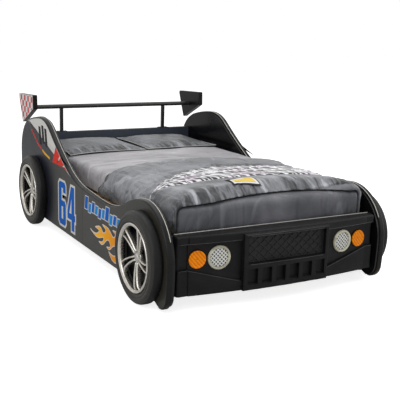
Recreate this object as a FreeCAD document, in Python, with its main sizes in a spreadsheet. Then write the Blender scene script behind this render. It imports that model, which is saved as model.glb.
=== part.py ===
import FreeCAD, Part

import math
import os
import re

import Sketcher
from FreeCAD import Placement, Rotation, Vector

# Car bed for children: two shaped side panels with moulded wheels, a moulded front bumper with
# lamps and a grille, a headboard with a spoiler, a slatted base, and the bedding.
#
# Frame: +Z up, +X to the right of somebody who stands at the front and looks along +Y, the bumper
# faces -Y and the headboard is at +Y.  The origin is on the floor, in the middle of the length and
# width.  Millimetres.
#
# Lengths along the bed are worked out from the front face of the front cross board ("reach"), and
# moved into the frame by from_front().  Heights are worked out from a level that lies ride_height
# above the floor, and every piece is raised by it when it is written.

doc = FreeCAD.newDocument("CarBed")
sheet = doc.addObject("Spreadsheet::Sheet", "Sizes")

SIZES = {
    "ride_height": 30,
    # the box that holds the mattress
    "inner_width": 1144,
    "inner_length": 1943,
    "cross_board": 22,
    "cross_top": 322,
    "slat_drop": 22,
    "headboard_thick": 30,
    "headboard_top": 514,
    "board_foot": 60,
    # side panels: an outer panel in two sections, on an inner board
    "inner_board": 16,
    "outer_panel": 26,
    "panel_inset": 8,
    "panel_round": 9,
    "seam_gap": 1.5,
    "sill": 33,
    "foot_length": 60,
    "foot_reach": 145,
    "heel_run": 42,
    "arch_height": 6,
    "rear_corner": 30,
    # outline of the front wing, as reach and height
    "nose_reach": -72,
    "nose_height": 190,
    "toe_reach": -66,
    "toe_height": 55,
    "toe_drop": 12,
    "instep_reach": 52,
    "wing_reach": 205,
    "wing_height": 447,
    "flank_reach": 375,
    "flank_height": 400,
    "dip_reach": 685,
    "dip_height": 333,
    "valley_height": 350,
    # outline of the rear wing, as distance ahead of the headboard's back face, and height
    "slope_ahead": 770,
    "slope_height": 432,
    "rise_ahead": 500,
    "rise_height": 600,
    "crest_ahead": 310,
    "crest_height": 652,
    "hump_ahead": 80,
    "hump_height": 612,
    "tail_behind": 84,
    # wheels
    "wheel_radius": 216,
    "wheel_depth": 58,
    "tyre_wall": 54,
    "tyre_shoulder": 14,
    "tyre_lip": 4,
    "rim_clearance": 0.2,
    "dish_floor": 8,
    "rim_stand": 4,
    "rim_lip": 13,
    "rim_lip_depth": 12,
    "rim_barrel": 6,
    "hub_radius": 30,
    "hub_face": 34,
    "spoke_width": 12,
    "spoke_thick": 12,
    "spoke_sink": 4,
    "spoke_count": 5,
    "spoke_swirl": 26,
    "spoke_spread": 15,
    "cap_radius": 22,
    "cap_thick": 7,
    "front_wheel_reach": 173,
    "rear_wheel_ahead": 239,
    "wheel_bolt_ring": 45,
    "wheel_bolt_grip": 6,
    # bumper
    "bumper_top": 325,
    "bumper_bottom": 50,
    "bumper_gap": 16,
    "bumper_wall": 9,
    "bumper_roof": 15,
    "bumper_corner": 16,
    "wing_face": 72,
    "wing_face_end": 40,
    "wing_cap": 56,
    "wing_cap_step": 4,
    "ledge_stand": 15,
    "ledge_height": 36,
    "skirt_step": 3,
    "skirt_outer": 170,
    "skirt_inner": 95,
    "block_inset": 335,
    "block_face": 103,
    "block_bow": 5,
    "block_top": 317,
    "block_round": 7,
    "grille_border": 20,
    "grille_low": 176,
    "grille_high": 302,
    "grille_depth": 27,
    "lattice_base": 3,
    "lattice_rise": 4,
    "lattice_bar": 5,
    "lattice_border": 6,
    "lattice_clearance": 0.3,
    "lattice_columns": 9,
    "lattice_rows": 3,
    "slot_count": 6,
    "slot_width": 53,
    "slot_low": 74,
    "slot_high": 152,
    "slot_depth": 18,
    "slot_lip": 12,
    "boss_radius": 11,
    "boss_inset": 34,
    "boss_end_inset": 32,
    "boss_low": 112,
    "boss_high": 286,
    # lamps
    "lamp_height": 215,
    "round_lamp_inset": 224,
    "round_lamp_radius": 56,
    "bezel_width": 11,
    "bezel_stand": 9,
    "bezel_bevel": 3,
    "amber_lamp_inset": 118,
    "amber_lamp_radius": 40,
    "amber_lamp_stand": 9,
    "amber_ring": 7,
    "amber_groove": 4,
    "lamp_sleeve": 4,
    "lamp_depth": 24,
    "lens_thick": 5,
    "lens_dome": 3,
    "lens_sink": 2,
    "lamp_clearance": 0.4,
    # spoiler
    "bar_height": 679,
    "bar_radius": 14,
    "bar_wall": 2,
    "post_inset": 202,
    "post_side": 20,
    "flange_length": 70,
    "flange_thick": 4,
    "flange_margin": 2,
    "flange_screw_inset": 10,
    "plate_thick": 30,
    "plate_clear": 4,
    "plate_front_ahead": 159,
    "plate_bend_ahead": 163,
    "plate_bend_height": 682,
    "plate_tip_behind": 62,
    "plate_tip_height": 576,
    "plate_rear_behind": 134,
    "plate_rear_height": 756,
    "plate_rear_edge": 18,
    "plate_top_height": 769,
    "plate_round": 8,
    # slatted base
    "rail_width": 30,
    "rail_height": 40,
    "rail_end_gap": 8,
    "slat_thick": 18,
    "slat_width": 80,
    "slat_count": 13,
    "slat_side_gap": 2,
    # hardware
    "bracket_leg": 50,
    "bracket_sheet": 3,
    "bracket_low": 130,
    "bracket_high": 236,
    "bracket_screw_inset": 25,
    "bracket_screw_edge": 18,
    "board_grip": 12,
    "rail_screw_count": 6,
    "bolt_radius": 4,
    "bolt_head": 8,
    "bolt_head_thick": 4,
    "screw_radius": 2.5,
    "screw_head": 5,
    "screw_head_thick": 2.5,
    "screw_grip": 14,
    "spoiler_screw_grip": 30,
    "hole_clearance": 0.3,
    # bedding
    "slat_clearance": 0.4,
    "mattress_side_gap": 52,
    "mattress_end_gap": 5,
    "mattress_side": 136,
    "mattress_crown": 12,
    "mattress_corner": 24,
    "mattress_bulge": 4,
    "cloth_gap": 0.5,
    "cover_corner": 26,
    "cover_fill": 18,
    "duvet_start": 52,
    "duvet_end": 945,
    "duvet_thick": 32,
    "duvet_puff": 7,
    "duvet_waves": 4,
    "duvet_drop": 126,
    "sheet_thick": 11,
    "sheet_drop": 116,
    "sheet_end_gap": 8,
    "pillow_end_gap": 6,
    "pillow_depth": 490,
    "pillow_thick": 62,
    "pillow_edge": 12,
    "pillow_pull": 16,
    "pillow_middle_gap": 12,
    "pillow_side_gap": 12,
    "pillow_clearance": 0.4,
}

for row, (alias, number) in enumerate(SIZES.items(), start=1):
    sheet.set(f"A{row}", alias)
    sheet.set(f"B{row}", str(number))
    sheet.setAlias(f"B{row}", alias)
doc.recompute()

# Sizes and places that follow from the driving ones, as formulas of them.
FORMULAS = {
    "half_inner": "inner_width / 2",
    "panel_face": "half_inner + inner_board",
    "half_outer": "panel_face + outer_panel",
    "rear_reach": "cross_board + inner_length",
    "back_reach": "rear_reach + headboard_thick",
    "front_y": "(block_face - back_reach - plate_rear_behind) / 2",
    "tail_reach": "back_reach + tail_behind",
    "rear_wheel_reach": "back_reach - rear_wheel_ahead",
    "waist_reach": "(dip_reach + back_reach - slope_ahead) / 2",
    "wheel_height": "wheel_radius - ride_height",
    "rim_radius": "wheel_radius - tyre_wall",
    "bumper_half": "half_inner - bumper_gap",
    "block_half": "half_inner - block_inset",
    "round_lamp_x": "half_inner - round_lamp_inset",
    "amber_lamp_x": "half_inner - amber_lamp_inset",
    "post_x": "half_inner - post_inset",
    "post_y": "front_y + rear_reach + headboard_thick / 2",
    "plate_x": "half_inner + plate_clear",
    "slat_top": "cross_top - slat_drop",
    "slat_low": "slat_top - slat_thick",
    "rail_low": "slat_low - rail_height",
    "slat_pitch": "inner_length / slat_count",
    "mattress_half": "half_inner - mattress_side_gap",
    "mattress_low": "slat_top + slat_clearance",
    "mattress_edge": "mattress_low + mattress_side",
    "mattress_top": "mattress_edge + mattress_crown",
    "mattress_start": "cross_board + mattress_end_gap",
    "mattress_end": "rear_reach - mattress_end_gap",
    "pillow_start": "mattress_end - pillow_depth - pillow_end_gap",
}


def formula(text):
    """Spell a formula out in the sheet's own cells."""
    word = r"[a-z][a-z_]+"

    def spell(found):
        name = found.group(0)
        if name in FORMULAS:
            return "(" + formula(FORMULAS[name]) + ")"
        return "Sizes." + name

    return re.sub(word, spell, text)


def size(text):
    """The number that a formula gives."""
    return float(sheet.evalExpression(formula(text)))


def from_front(reach):
    """Place along Y, in the frame, of a reach behind the front cross board's front face."""
    return size("front_y") + reach


# ---------------------------------------------------------------- ways to make a piece


def origin_plane(body, role):
    """One of a body's own origin planes."""
    return next(part for part in body.Origin.OriginFeatures if part.Role == role)


def new_body(label, base, turn=None):
    """A body at a place given as three formulas, turned if asked."""
    body = doc.addObject("PartDesign::Body", label)
    body.Label = label
    if turn is not None:
        body.Placement = Placement(Vector(), turn)
    for axis, text in zip("xyz", base):
        body.setExpression("Placement.Base." + axis, formula(text))
    return body


def new_sketch(body, name, role):
    """An empty sketch on one of the body's own origin planes."""
    sketch = body.newObject("Sketcher::SketchObject", name)
    sketch.AttachmentSupport = (origin_plane(body, role), [""])
    sketch.MapMode = "FlatFace"
    return sketch


def hold(sketch, kind, geometry, point, number, text):
    """Add one driving dimension of a sketch and bind it to a formula."""
    index = sketch.addConstraint(Sketcher.Constraint(kind, *geometry, *point, number))
    sketch.setExpression(f"Constraints[{index}]", formula(text))


def corner_lines(sketch, corners):
    """A closed outline of straight lines, each corner held by its two formulas.

    The numbers are never negative in a dimension, so the sign goes into the order of its points.
    """
    spots = [(size(across), size(along)) for across, along in corners]
    count = len(spots)
    for here in range(count):
        start = Vector(*spots[here], 0)
        end = Vector(*spots[(here + 1) % count], 0)
        sketch.addGeometry(Part.LineSegment(start, end), False)
    for here in range(count):
        sketch.addConstraint(Sketcher.Constraint("Coincident", here, 2, (here + 1) % count, 1))
    for here, (across, along) in enumerate(corners):
        for kind, text, number in zip(("DistanceX", "DistanceY"), (across, along), spots[here]):
            if number < 0:
                hold(sketch, kind, (here, 1), (-1, 1), -number, f"-({text})")
            else:
                hold(sketch, kind, (-1, 1), (here, 1), number, text)


def circle(sketch, across, along, radius):
    """A circle held by its centre and radius."""
    spot = (size(across), size(along))
    index = sketch.addGeometry(Part.Circle(Vector(*spot, 0), Vector(0, 0, 1), size(radius)), False)
    for kind, text, number in zip(("DistanceX", "DistanceY"), (across, along), spot):
        if number < 0:
            hold(sketch, kind, (index, 3), (-1, 1), -number, f"-({text})")
        else:
            hold(sketch, kind, (-1, 1), (index, 3), number, text)
    radius_index = sketch.addConstraint(Sketcher.Constraint("Radius", index, size(radius)))
    sketch.setExpression(f"Constraints[{radius_index}]", formula(radius))


def pad(body, name, sketch, length):
    """Pad a sketch by a length given as a formula, and make the pad the body's tip."""
    feature = body.newObject("PartDesign::Pad", name)
    feature.Profile = sketch
    feature.setExpression("Length", formula(length))
    sketch.Visibility = False
    body.Tip = feature
    return feature


def block(label, spans, holes=()):
    """A rectangular piece: spans are its low and high formulas along X, Y and Z.

    Each hole is (across, along, radius), upright through the piece.
    """
    (west, east), (near, far), (low, high) = spans
    body = new_body(label, (west, near, low))
    sketch = new_sketch(body, label + "_outline", "XY_Plane")
    width = f"({east}) - ({west})"
    depth = f"({far}) - ({near})"
    corner_lines(sketch, [("0", "0"), (width, "0"), (width, depth), ("0", depth)])
    for across, along, radius in holes:
        circle(sketch, across, along, radius)
    pad(body, label + "_pad", sketch, f"({high}) - ({low})")
    return body


def turned(label, profile, base, turn):
    """A piece turned on a lathe: profile is (radius, height) formulas, its axis is its own Z."""
    body = new_body(label, base, turn)
    sketch = new_sketch(body, label + "_profile", "XZ_Plane")
    corner_lines(sketch, profile)
    feature = body.newObject("PartDesign::Revolution", label + "_turn")
    feature.Profile = sketch
    feature.ReferenceAxis = (sketch, ["V_Axis"])
    feature.Angle = 360
    body.Tip = feature
    return body


def shaped(label, shape):
    """A piece whose form neither a sketch nor a primitive gives."""
    piece = doc.addObject("Part::Feature", label)
    piece.Label = label
    piece.Shape = shape
    return piece


def box(low, high):
    """A box shape between two corners."""
    spans = [b - a for a, b in zip(low, high)]
    return Part.makeBox(*spans, Vector(*low))


def mirrored(shape):
    """The same shape on the other side of the bed."""
    return shape.mirror(Vector(0, 0, 0), Vector(1, 0, 0))


def drilled(shape, rods):
    """A shape with clearance holes for the rods that pass through it."""
    for start, direction, length, radius in rods:
        shape = shape.cut(Part.makeCylinder(radius, length, start, direction))
    return shape


def pegs(places, radius, length, head_radius, head_thick):
    """Screws or bolts as separate solids: each place is the head's seat and its direction."""
    solids = []
    for seat, direction in places:
        shank = Part.makeCylinder(radius, length, seat, direction)
        head = Part.makeCylinder(head_radius, head_thick, seat, direction * -1)
        solids.append(shank.fuse(head).removeSplitter())
    return Part.makeCompound(solids)


def arc_on(start, heading, end):
    """An arc from start, leaving at a heading in degrees, to end; gives it and its last heading."""
    chord = math.degrees(math.atan2(end[1] - start[1], end[0] - start[0]))
    turn = math.remainder(chord - heading, 360)
    if abs(turn) < 0.01:
        return ("line", start, end), heading
    length = math.hypot(end[0] - start[0], end[1] - start[1])
    bulge = length / 2 * math.tan(math.radians(turn) / 2)
    side = math.radians(chord - 90)
    middle = (
        (start[0] + end[0]) / 2 + bulge * math.cos(side),
        (start[1] + end[1]) / 2 + bulge * math.sin(side),
    )
    return ("arc", start, middle, end), chord + turn


def flowing(points, heading):
    """Arcs through the points, each leaving where the one before it arrives, without a kink."""
    pieces = []
    for start, end in zip(points, points[1:]):
        piece, heading = arc_on(start, heading, end)
        pieces.append(piece)
    return pieces, heading


# ---------------------------------------------------------------- side panels


def panel_outline():
    """The side panel's outline in the YZ plane, as one closed wire."""
    back = size("back_reach")
    sill = size("sill")
    nose = (size("nose_reach"), size("nose_height"))
    tops = [
        nose,
        (size("wing_reach"), size("wing_height")),
        (size("flank_reach"), size("flank_height")),
        (size("dip_reach"), size("dip_height")),
        (size("waist_reach"), size("valley_height")),
        (back - size("slope_ahead"), size("slope_height")),
        (back - size("rise_ahead"), size("rise_height")),
        (back - size("crest_ahead"), size("crest_height")),
        (back - size("hump_ahead"), size("hump_height")),
    ]
    pieces, heading = flowing(tops, 90)
    # the last arc arrives upright, so its height follows from where it starts
    tail = size("tail_reach")
    fall = math.tan(math.radians((90 - heading) / 2))
    tail_top = (tail, tops[-1][1] - (tail - tops[-1][0]) * fall)
    last, _ = arc_on(tops[-1], heading, tail_top)
    pieces.append(last)

    corner = size("rear_corner")
    floor = -size("ride_height")
    rear_toe = (tail - corner, floor)
    corner_arc, _ = arc_on((tail, floor + corner), -90, rear_toe)
    rear_heel = (rear_toe[0] - size("foot_length"), floor)
    rear_sill = (rear_heel[0] - size("heel_run"), sill)

    toe = (size("toe_reach"), size("toe_height"))
    shin, heading = flowing([nose, toe], -90)
    # the toe's arc ends level, short of the floor
    under_toe = -size("toe_drop")
    run = (toe[1] - under_toe) / math.tan(math.radians(-heading / 2))
    ball = (toe[0] + run, under_toe)
    sole_arc, _ = arc_on(toe, heading, ball)
    arch = size("arch_height")
    instep = (size("instep_reach"), arch)
    foot = (size("foot_reach"), floor)
    arch_end = (foot[0] - size("heel_run / 2"), arch)
    heel = (foot[0] + size("foot_length"), floor)
    front_sill = (heel[0] + size("heel_run"), sill)

    pieces += shin + [
        ("line", tail_top, (tail, floor + corner)),
        corner_arc,
        ("line", rear_toe, rear_heel),
        ("line", rear_heel, rear_sill),
        ("line", rear_sill, front_sill),
        ("line", front_sill, heel),
        ("line", heel, foot),
        ("line", foot, arch_end),
        ("line", arch_end, instep),
        ("line", instep, ball),
        sole_arc,
    ]

    def spot(point):
        return Vector(0, from_front(point[0]), point[1])

    edges = []
    for kind, *points in pieces:
        ends = [spot(point) for point in points]
        curve = Part.Arc(*ends) if kind == "arc" else Part.LineSegment(*ends)
        edges.append(curve.toShape())
    return Part.Wire(Part.__sortEdges__(edges))


def wheel_spots():
    """Where the wheel centres are along the bed."""
    return {
        "front": from_front(size("front_wheel_reach")),
        "rear": from_front(size("rear_wheel_reach")),
    }


def wheel_bolt_seats():
    """Bolt heads on the right inner board's inner face, three to a wheel."""
    ring = size("wheel_bolt_ring")
    seats = []
    for middle in wheel_spots().values():
        for angle in (-90, 30, 150):
            across = ring * math.cos(math.radians(angle))
            up = ring * math.sin(math.radians(angle))
            seats.append(Vector(size("half_inner"), middle + across, size("wheel_height") + up))
    return seats


def outer_panels(outline):
    """The right outer panel, cut at its seam into a front and a rear section."""
    thick = size("outer_panel")
    board = Part.Face(outline).extrude(Vector(thick, 0, 0))
    face_edges = [
        edge for edge in board.Edges
        if edge.BoundBox.XMin > thick - 0.01
    ]
    board = board.makeFillet(size("panel_round"), face_edges)
    board.translate(Vector(size("panel_face"), 0, 0))
    seam = from_front(size("waist_reach"))
    gap = size("seam_gap") / 2
    bounds = board.BoundBox
    bounds.enlarge(1)
    low = (bounds.XMin, bounds.YMin, bounds.ZMin)
    high = (bounds.XMax, bounds.YMax, bounds.ZMax)
    front = board.common(box(low, (high[0], seam - gap, high[2])))
    rear = board.common(box((low[0], seam + gap, low[2]), high))
    return front, rear


def inner_board_shape(outline):
    """The right inner board, set in from the outer panel's edge."""
    small = outline.makeOffset2D(-size("panel_inset"))
    board = Part.Face(small).extrude(Vector(size("inner_board"), 0, 0))
    board.translate(Vector(size("half_inner"), 0, 0))
    return board


def make_side_panels():
    """Both sides: the outer panel's two sections, and the inner board that joins them."""
    outline = panel_outline()
    through = size("inner_board + outer_panel")
    rods = [
        (seat, Vector(1, 0, 0), through, size("bolt_radius + hole_clearance"))
        for seat in wheel_bolt_seats()
    ]
    front, rear = (drilled(section, rods) for section in outer_panels(outline))
    inner = drilled(inner_board_shape(outline), rods)
    for name, shape in (("front_side_panel", front), ("rear_side_panel", rear),
                        ("inner_side_board", inner)):
        shaped("right_" + name, shape)
        shaped("left_" + name, mirrored(shape))


# ---------------------------------------------------------------- wheels

OUTWARD = {"left": Rotation(Vector(0, 1, 0), -90), "right": Rotation(Vector(0, 1, 0), 90)}
SIDES = {"left": -1, "right": 1}


def rim_shape():
    """Bright rim about its own Z: barrel, lip, hub and twin spokes."""
    radius = size("rim_radius")
    floor = size("dish_floor")
    face = size("wheel_depth + rim_stand")
    lip = size("rim_lip")
    barrel = Part.makeCylinder(radius, face - floor, Vector(0, 0, floor))
    barrel = barrel.cut(Part.makeCylinder(
        radius - size("rim_barrel"), face - floor - size("rim_lip_depth"), Vector(0, 0, floor)))
    barrel = barrel.cut(Part.makeCylinder(radius - lip, face))
    rim = barrel.fuse(Part.makeCylinder(size("hub_radius"), size("hub_face") - floor,
                                        Vector(0, 0, floor)))
    for number in range(int(size("spoke_count"))):
        for side in (-1, 1):
            spoke = spoke_shape(side)
            spoke.rotate(Vector(), Vector(0, 0, 1), 360 / size("spoke_count") * number)
            rim = rim.fuse(spoke)
    return rim.removeSplitter()


def spoke_shape(side):
    """One spoke along +X, rising from the hub to the rim and swept to one side."""
    width = size("spoke_width")
    thick = size("spoke_thick")
    stations = 4
    start = size("(cap_radius + hub_radius) / 2")
    end = size("rim_radius - rim_lip / 2")
    top_at_hub = size("hub_face")
    top_at_rim = size("wheel_depth + rim_stand - spoke_sink")
    wires = []
    for station in range(stations + 1):
        share = station / stations
        along = start + (end - start) * share
        across = (
            side * (width * 0.6 + size("spoke_spread") * share ** 2)
            + size("spoke_swirl") * math.sin(math.pi * share)
        )
        top = top_at_hub + (top_at_rim - top_at_hub) * share ** 1.5
        corners = [
            Vector(along, across - width / 2, top - thick),
            Vector(along, across + width / 2, top - thick),
            Vector(along, across + width / 2, top),
            Vector(along, across - width / 2, top),
        ]
        wires.append(Part.makePolygon(corners + corners[:1]))
    return Part.makeLoft(wires, True, True)


def make_wheels():
    """Four moulded wheels: a tyre with its web, a bright rim and a hub cap on each."""
    rim = rim_shape()
    # how far a corner rounded at 45 degrees falls short of the square one
    shoulder = f"tyre_shoulder * {1 - math.sqrt(0.5):.4f}"
    tyre_profile = [
        ("0", "0"),
        ("wheel_radius", "0"),
        ("wheel_radius", "wheel_depth - tyre_shoulder"),
        (f"wheel_radius - {shoulder}", f"wheel_depth - {shoulder}"),
        ("wheel_radius - tyre_shoulder", "wheel_depth"),
        ("rim_radius + tyre_lip / 2", "wheel_depth"),
        ("rim_radius + rim_clearance", "wheel_depth - tyre_lip"),
        ("rim_radius + rim_clearance", "dish_floor"),
        ("0", "dish_floor"),
    ]
    cap_profile = [
        ("0", "0"),
        ("cap_radius", "0"),
        ("cap_radius", "cap_thick * 0.5"),
        ("cap_radius * 0.8", "cap_thick"),
        ("0", "cap_thick"),
    ]
    reaches = {"front": "front_wheel_reach", "rear": "rear_wheel_reach"}
    for side, sign in SIDES.items():
        for end, reach in reaches.items():
            middle = f"front_y + {reach}"
            name = f"{side}_{end}"
            seat = (f"{sign} * half_outer", middle, "wheel_height")
            turned(name + "_tyre", tyre_profile, seat, OUTWARD[side])
            piece = shaped(name + "_rim", rim)
            piece.Placement = Placement(Vector(*(size(text) for text in seat)), OUTWARD[side])
            cap_seat = (f"{sign} * (half_outer + hub_face)", middle, "wheel_height")
            turned(name + "_hub_cap", cap_profile, cap_seat, OUTWARD[side])


# ---------------------------------------------------------------- bumper, grille and lamps


def wing_curve_radius():
    """Radius of the wing face in plan, from its bow between the end caps."""
    half = size("bumper_half - wing_cap")
    bow = size("wing_face - wing_face_end")
    return (half * half + bow * bow) / (2 * bow)


def wing_face_at(across):
    """How far ahead of the cross board the wing face stands, at a distance from the middle."""
    radius = wing_curve_radius()
    return size("wing_face") - radius + math.sqrt(radius * radius - across * across)


def bumper_plan(stand, half):
    """Plan of the bumper: flat back, bowed front moved forward by stand, stepped rounded ends."""
    inner = half - size("wing_cap")
    end_face = size("wing_face_end") + stand
    step = size("wing_cap_step")
    corner = size("bumper_corner")
    bend = corner * (1 - math.sqrt(0.5))
    front = end_face - step - corner

    def spot(across, ahead):
        return Vector(across, from_front(-ahead), 0)

    edges = [Part.LineSegment(spot(-half, 0), spot(half, 0))]
    for sign in (1, -1):
        edges += [
            Part.LineSegment(spot(sign * half, 0), spot(sign * half, front)),
            Part.Arc(
                spot(sign * half, front),
                spot(sign * (half - bend), front + corner - bend),
                spot(sign * (half - corner), front + corner),
            ),
            Part.LineSegment(
                spot(sign * (half - corner), front + corner),
                spot(sign * inner, end_face - step),
            ),
            Part.LineSegment(spot(sign * inner, end_face - step), spot(sign * inner, end_face)),
        ]
    edges.append(Part.Arc(
        spot(-inner, end_face),
        spot(0, size("wing_face") + stand),
        spot(inner, end_face),
    ))
    return Part.Face(Part.Wire(Part.__sortEdges__([edge.toShape() for edge in edges])))


def lift(face, low, high):
    """A face in the floor plane as a solid between two heights."""
    solid = face.extrude(Vector(0, 0, high - low))
    solid.translate(Vector(0, 0, low))
    return solid


def block_shape():
    """Raised centre block of the bumper, with a gently bowed and rounded front."""
    half = size("block_half")
    face = size("block_face")
    edge = face - size("block_bow")

    def spot(across, ahead):
        return Vector(across, from_front(-ahead), 0)

    curves = [
        Part.LineSegment(spot(-half, 0), spot(half, 0)),
        Part.LineSegment(spot(half, 0), spot(half, edge)),
        Part.LineSegment(spot(-half, 0), spot(-half, edge)),
        Part.Arc(spot(-half, edge), spot(0, face), spot(half, edge)),
    ]
    plan = Part.Face(Part.Wire(Part.__sortEdges__([curve.toShape() for curve in curves])))
    solid = lift(plan, size("bumper_bottom"), size("block_top"))
    front_edges = [
        rim for rim in solid.Edges
        if rim.BoundBox.YMax < from_front(-edge) + 0.5
    ]
    return solid.makeFillet(size("block_round"), front_edges)


def skirt_shape():
    """Part of the forward plan that stands below a ledge sloping from the cap to the block."""
    half = size("bumper_half")
    inner = half - size("wing_cap")
    low = size("bumper_bottom")
    shape = None
    for sign in (1, -1):
        corners = [
            (sign * size("block_half - 10"), low),
            (sign * half, low),
            (sign * half, size("skirt_outer")),
            (sign * inner, size("skirt_outer")),
            (sign * size("block_half - 10"), size("skirt_inner")),
        ]
        points = [Vector(across, from_front(-200), up) for across, up in corners]
        prism = Part.Face(Part.makePolygon(points + points[:1])).extrude(Vector(0, 250, 0))
        shape = prism if shape is None else shape.fuse(prism)
    return shape


def lamp_frames():
    """Seat and outward direction of each lamp on the curved wing face, by name."""
    frames = {}
    for kind in ("round", "amber"):
        across = size(f"{kind}_lamp_x")
        tilt = math.asin(across / wing_curve_radius())
        for side, sign in SIDES.items():
            seat = Vector(sign * across, from_front(-wing_face_at(across)), size("lamp_height"))
            outward = Vector(sign * math.sin(tilt), -math.cos(tilt), 0)
            frames[f"{side}_{kind}"] = (seat, outward)
    return frames


def bumper_boss_spots():
    """Screw bosses inside the bumper, as distance from the middle and height."""
    near = size("block_half + boss_inset")
    far = size("bumper_half - boss_end_inset")
    low, high = size("boss_low"), size("boss_high")
    return [(sign * across, up) for sign in (1, -1)
            for across, up in ((near, low), (near, high), (far, low))]


def bumper_outside():
    """The bumper as a full solid: wing face, top ledge, skirt and centre block."""
    half = size("bumper_half")
    low, top = size("bumper_bottom"), size("bumper_top")
    stand = size("ledge_stand")
    under_ledge = top - size("ledge_height")
    ledge = lift(bumper_plan(stand, half), under_ledge, top)
    ledge_rims = [
        rim for rim in ledge.Edges
        if rim.BoundBox.ZMin > top - 0.01 and rim.BoundBox.YMax < from_front(-20)
    ]
    ledge = ledge.makeFillet(size("bumper_wall"), ledge_rims)
    skirt = lift(bumper_plan(stand - size("skirt_step"), half), low, under_ledge)
    body = lift(bumper_plan(0, half), low, under_ledge + 1)
    return body.fuse([ledge, skirt.common(skirt_shape()), block_shape()])


def bumper_hollow():
    """The space behind the bumper's face, open to the cross board."""
    wall = size("bumper_wall")
    half = size("bumper_half") - wall
    low, high = size("bumper_bottom") + wall, size("bumper_top - bumper_roof")
    behind, ahead = from_front(1), from_front(-size("block_face"))
    radius = wing_curve_radius()
    face_inside = Part.makeCylinder(
        radius - wall, high, Vector(0, from_front(radius - size("wing_face")), 0))
    middle_half = half + wall - size("wing_cap")
    middle = box((-middle_half, ahead, low), (middle_half, behind, high)).common(face_inside)
    cap_inside = from_front(-size("wing_face_end - wing_cap_step - bumper_wall"))
    return middle.fuse(box((-half, cap_inside, low), (half, behind, high)))


def grille_recess():
    """The recess in the centre block: half its width, and how far its floor stands ahead."""
    return size("block_half - grille_border"), size("block_face - grille_depth")


def bumper_openings():
    """What is cut from the bumper's face: the grille recess, the slots and the lamp seats."""
    recess_half, floor = grille_recess()
    face = size("block_face")
    front = from_front(-face - 1)
    yield box((-recess_half, front, size("grille_low")),
              (recess_half, from_front(-floor), size("grille_high")))

    count = int(size("slot_count"))
    width = size("slot_width")
    pitch = (2 * recess_half - width) / (count - 1)
    slot_floor = from_front(-size("block_face - slot_depth"))
    for number in range(count):
        west = number * pitch - recess_half
        side_view = [
            Vector(west, front, size("slot_high")),
            Vector(west, slot_floor, size("slot_high")),
            Vector(west, slot_floor, size("slot_low + slot_lip")),
            Vector(west, front, size("slot_low")),
        ]
        outline = Part.Face(Part.makePolygon(side_view + side_view[:1]))
        yield outline.extrude(Vector(width, 0, 0))

    for name, (seat, outward) in lamp_frames().items():
        lamp = size(f"{name.split('_')[1]}_lamp_radius")
        sleeve = lamp - size("bezel_width") + size("lamp_sleeve + lamp_clearance")
        yield Part.makeCylinder(lamp + 1, size("wing_face"), seat, outward)
        reach = size("lamp_depth + bumper_wall")
        yield Part.makeCylinder(sleeve, 2 * reach, seat - outward * reach, outward)


def make_bumper():
    """The moulded bumper with its screw bosses, its grille and its lamps."""
    bumper = bumper_outside().cut(bumper_hollow())
    cap_start = size("bumper_half - wing_cap")
    forward = Vector(0, -1, 0)
    for across, up in bumper_boss_spots():
        in_cap = abs(across) > cap_start
        ahead = size("wing_face_end - wing_cap_step") if in_cap else wing_face_at(across)
        bumper = bumper.fuse(Part.makeCylinder(
            size("boss_radius"), ahead - size("bumper_wall / 2"),
            Vector(across, from_front(0), up), forward))
    for opening in bumper_openings():
        bumper = bumper.cut(opening)
    for across, up in bumper_boss_spots():
        bumper = bumper.cut(Part.makeCylinder(
            size("screw_radius"), size("screw_grip"), Vector(across, from_front(0), up), forward))
    shaped("bumper_shell", bumper.removeSplitter())
    make_grille()
    make_lamps()


def make_grille():
    """Lattice insert: a thin base with crossing diagonal bars, on the recess floor."""
    recess_half, floor = grille_recess()
    gap = size("lattice_clearance")
    half = recess_half - gap
    low, high = size("grille_low") + gap, size("grille_high") - gap
    back = from_front(-floor)
    base = size("lattice_base")
    rise = size("lattice_rise")
    front = back - base - rise
    edge = size("lattice_border")
    window = box((-half, front, low), (half, back, high))
    border = window.cut(box((-half + edge, front, low + edge), (half - edge, back, high - edge)))
    insert = box((-half, back - base, low), (half, back, high)).fuse(border)
    columns, rows = int(size("lattice_columns")), int(size("lattice_rows"))
    cell_wide = 2 * half / columns
    cell_high = (high - low) / rows
    slope = math.atan2(cell_high, cell_wide)
    length = 2 * (half + high - low)
    bar = size("lattice_bar")
    bars = []
    for sign in (1, -1):
        for number in range(-rows, columns + rows + 1):
            rod = box((-length / 2, front, -bar / 2), (length / 2, back - base / 2, bar / 2))
            rod.rotate(Vector(), Vector(0, 1, 0), math.degrees(slope) * sign)
            rod.translate(Vector(-half + (number + 0.5) * cell_wide, 0, low))
            bars.append(rod)
    lattice = bars[0].fuse(bars[1:]).common(window)
    shaped("grille_lattice", insert.fuse(lattice).removeSplitter())


def lamp_piece(label, profile, seat, outward):
    """A turned lamp piece, its own Z along the lamp's outward direction."""
    body = turned(label, profile, ("0", "0", "0"), None)
    for axis in "xyz":
        body.setExpression("Placement.Base." + axis, None)
    body.Placement = Placement(seat, Rotation(Vector(0, 0, 1), outward))


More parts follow.
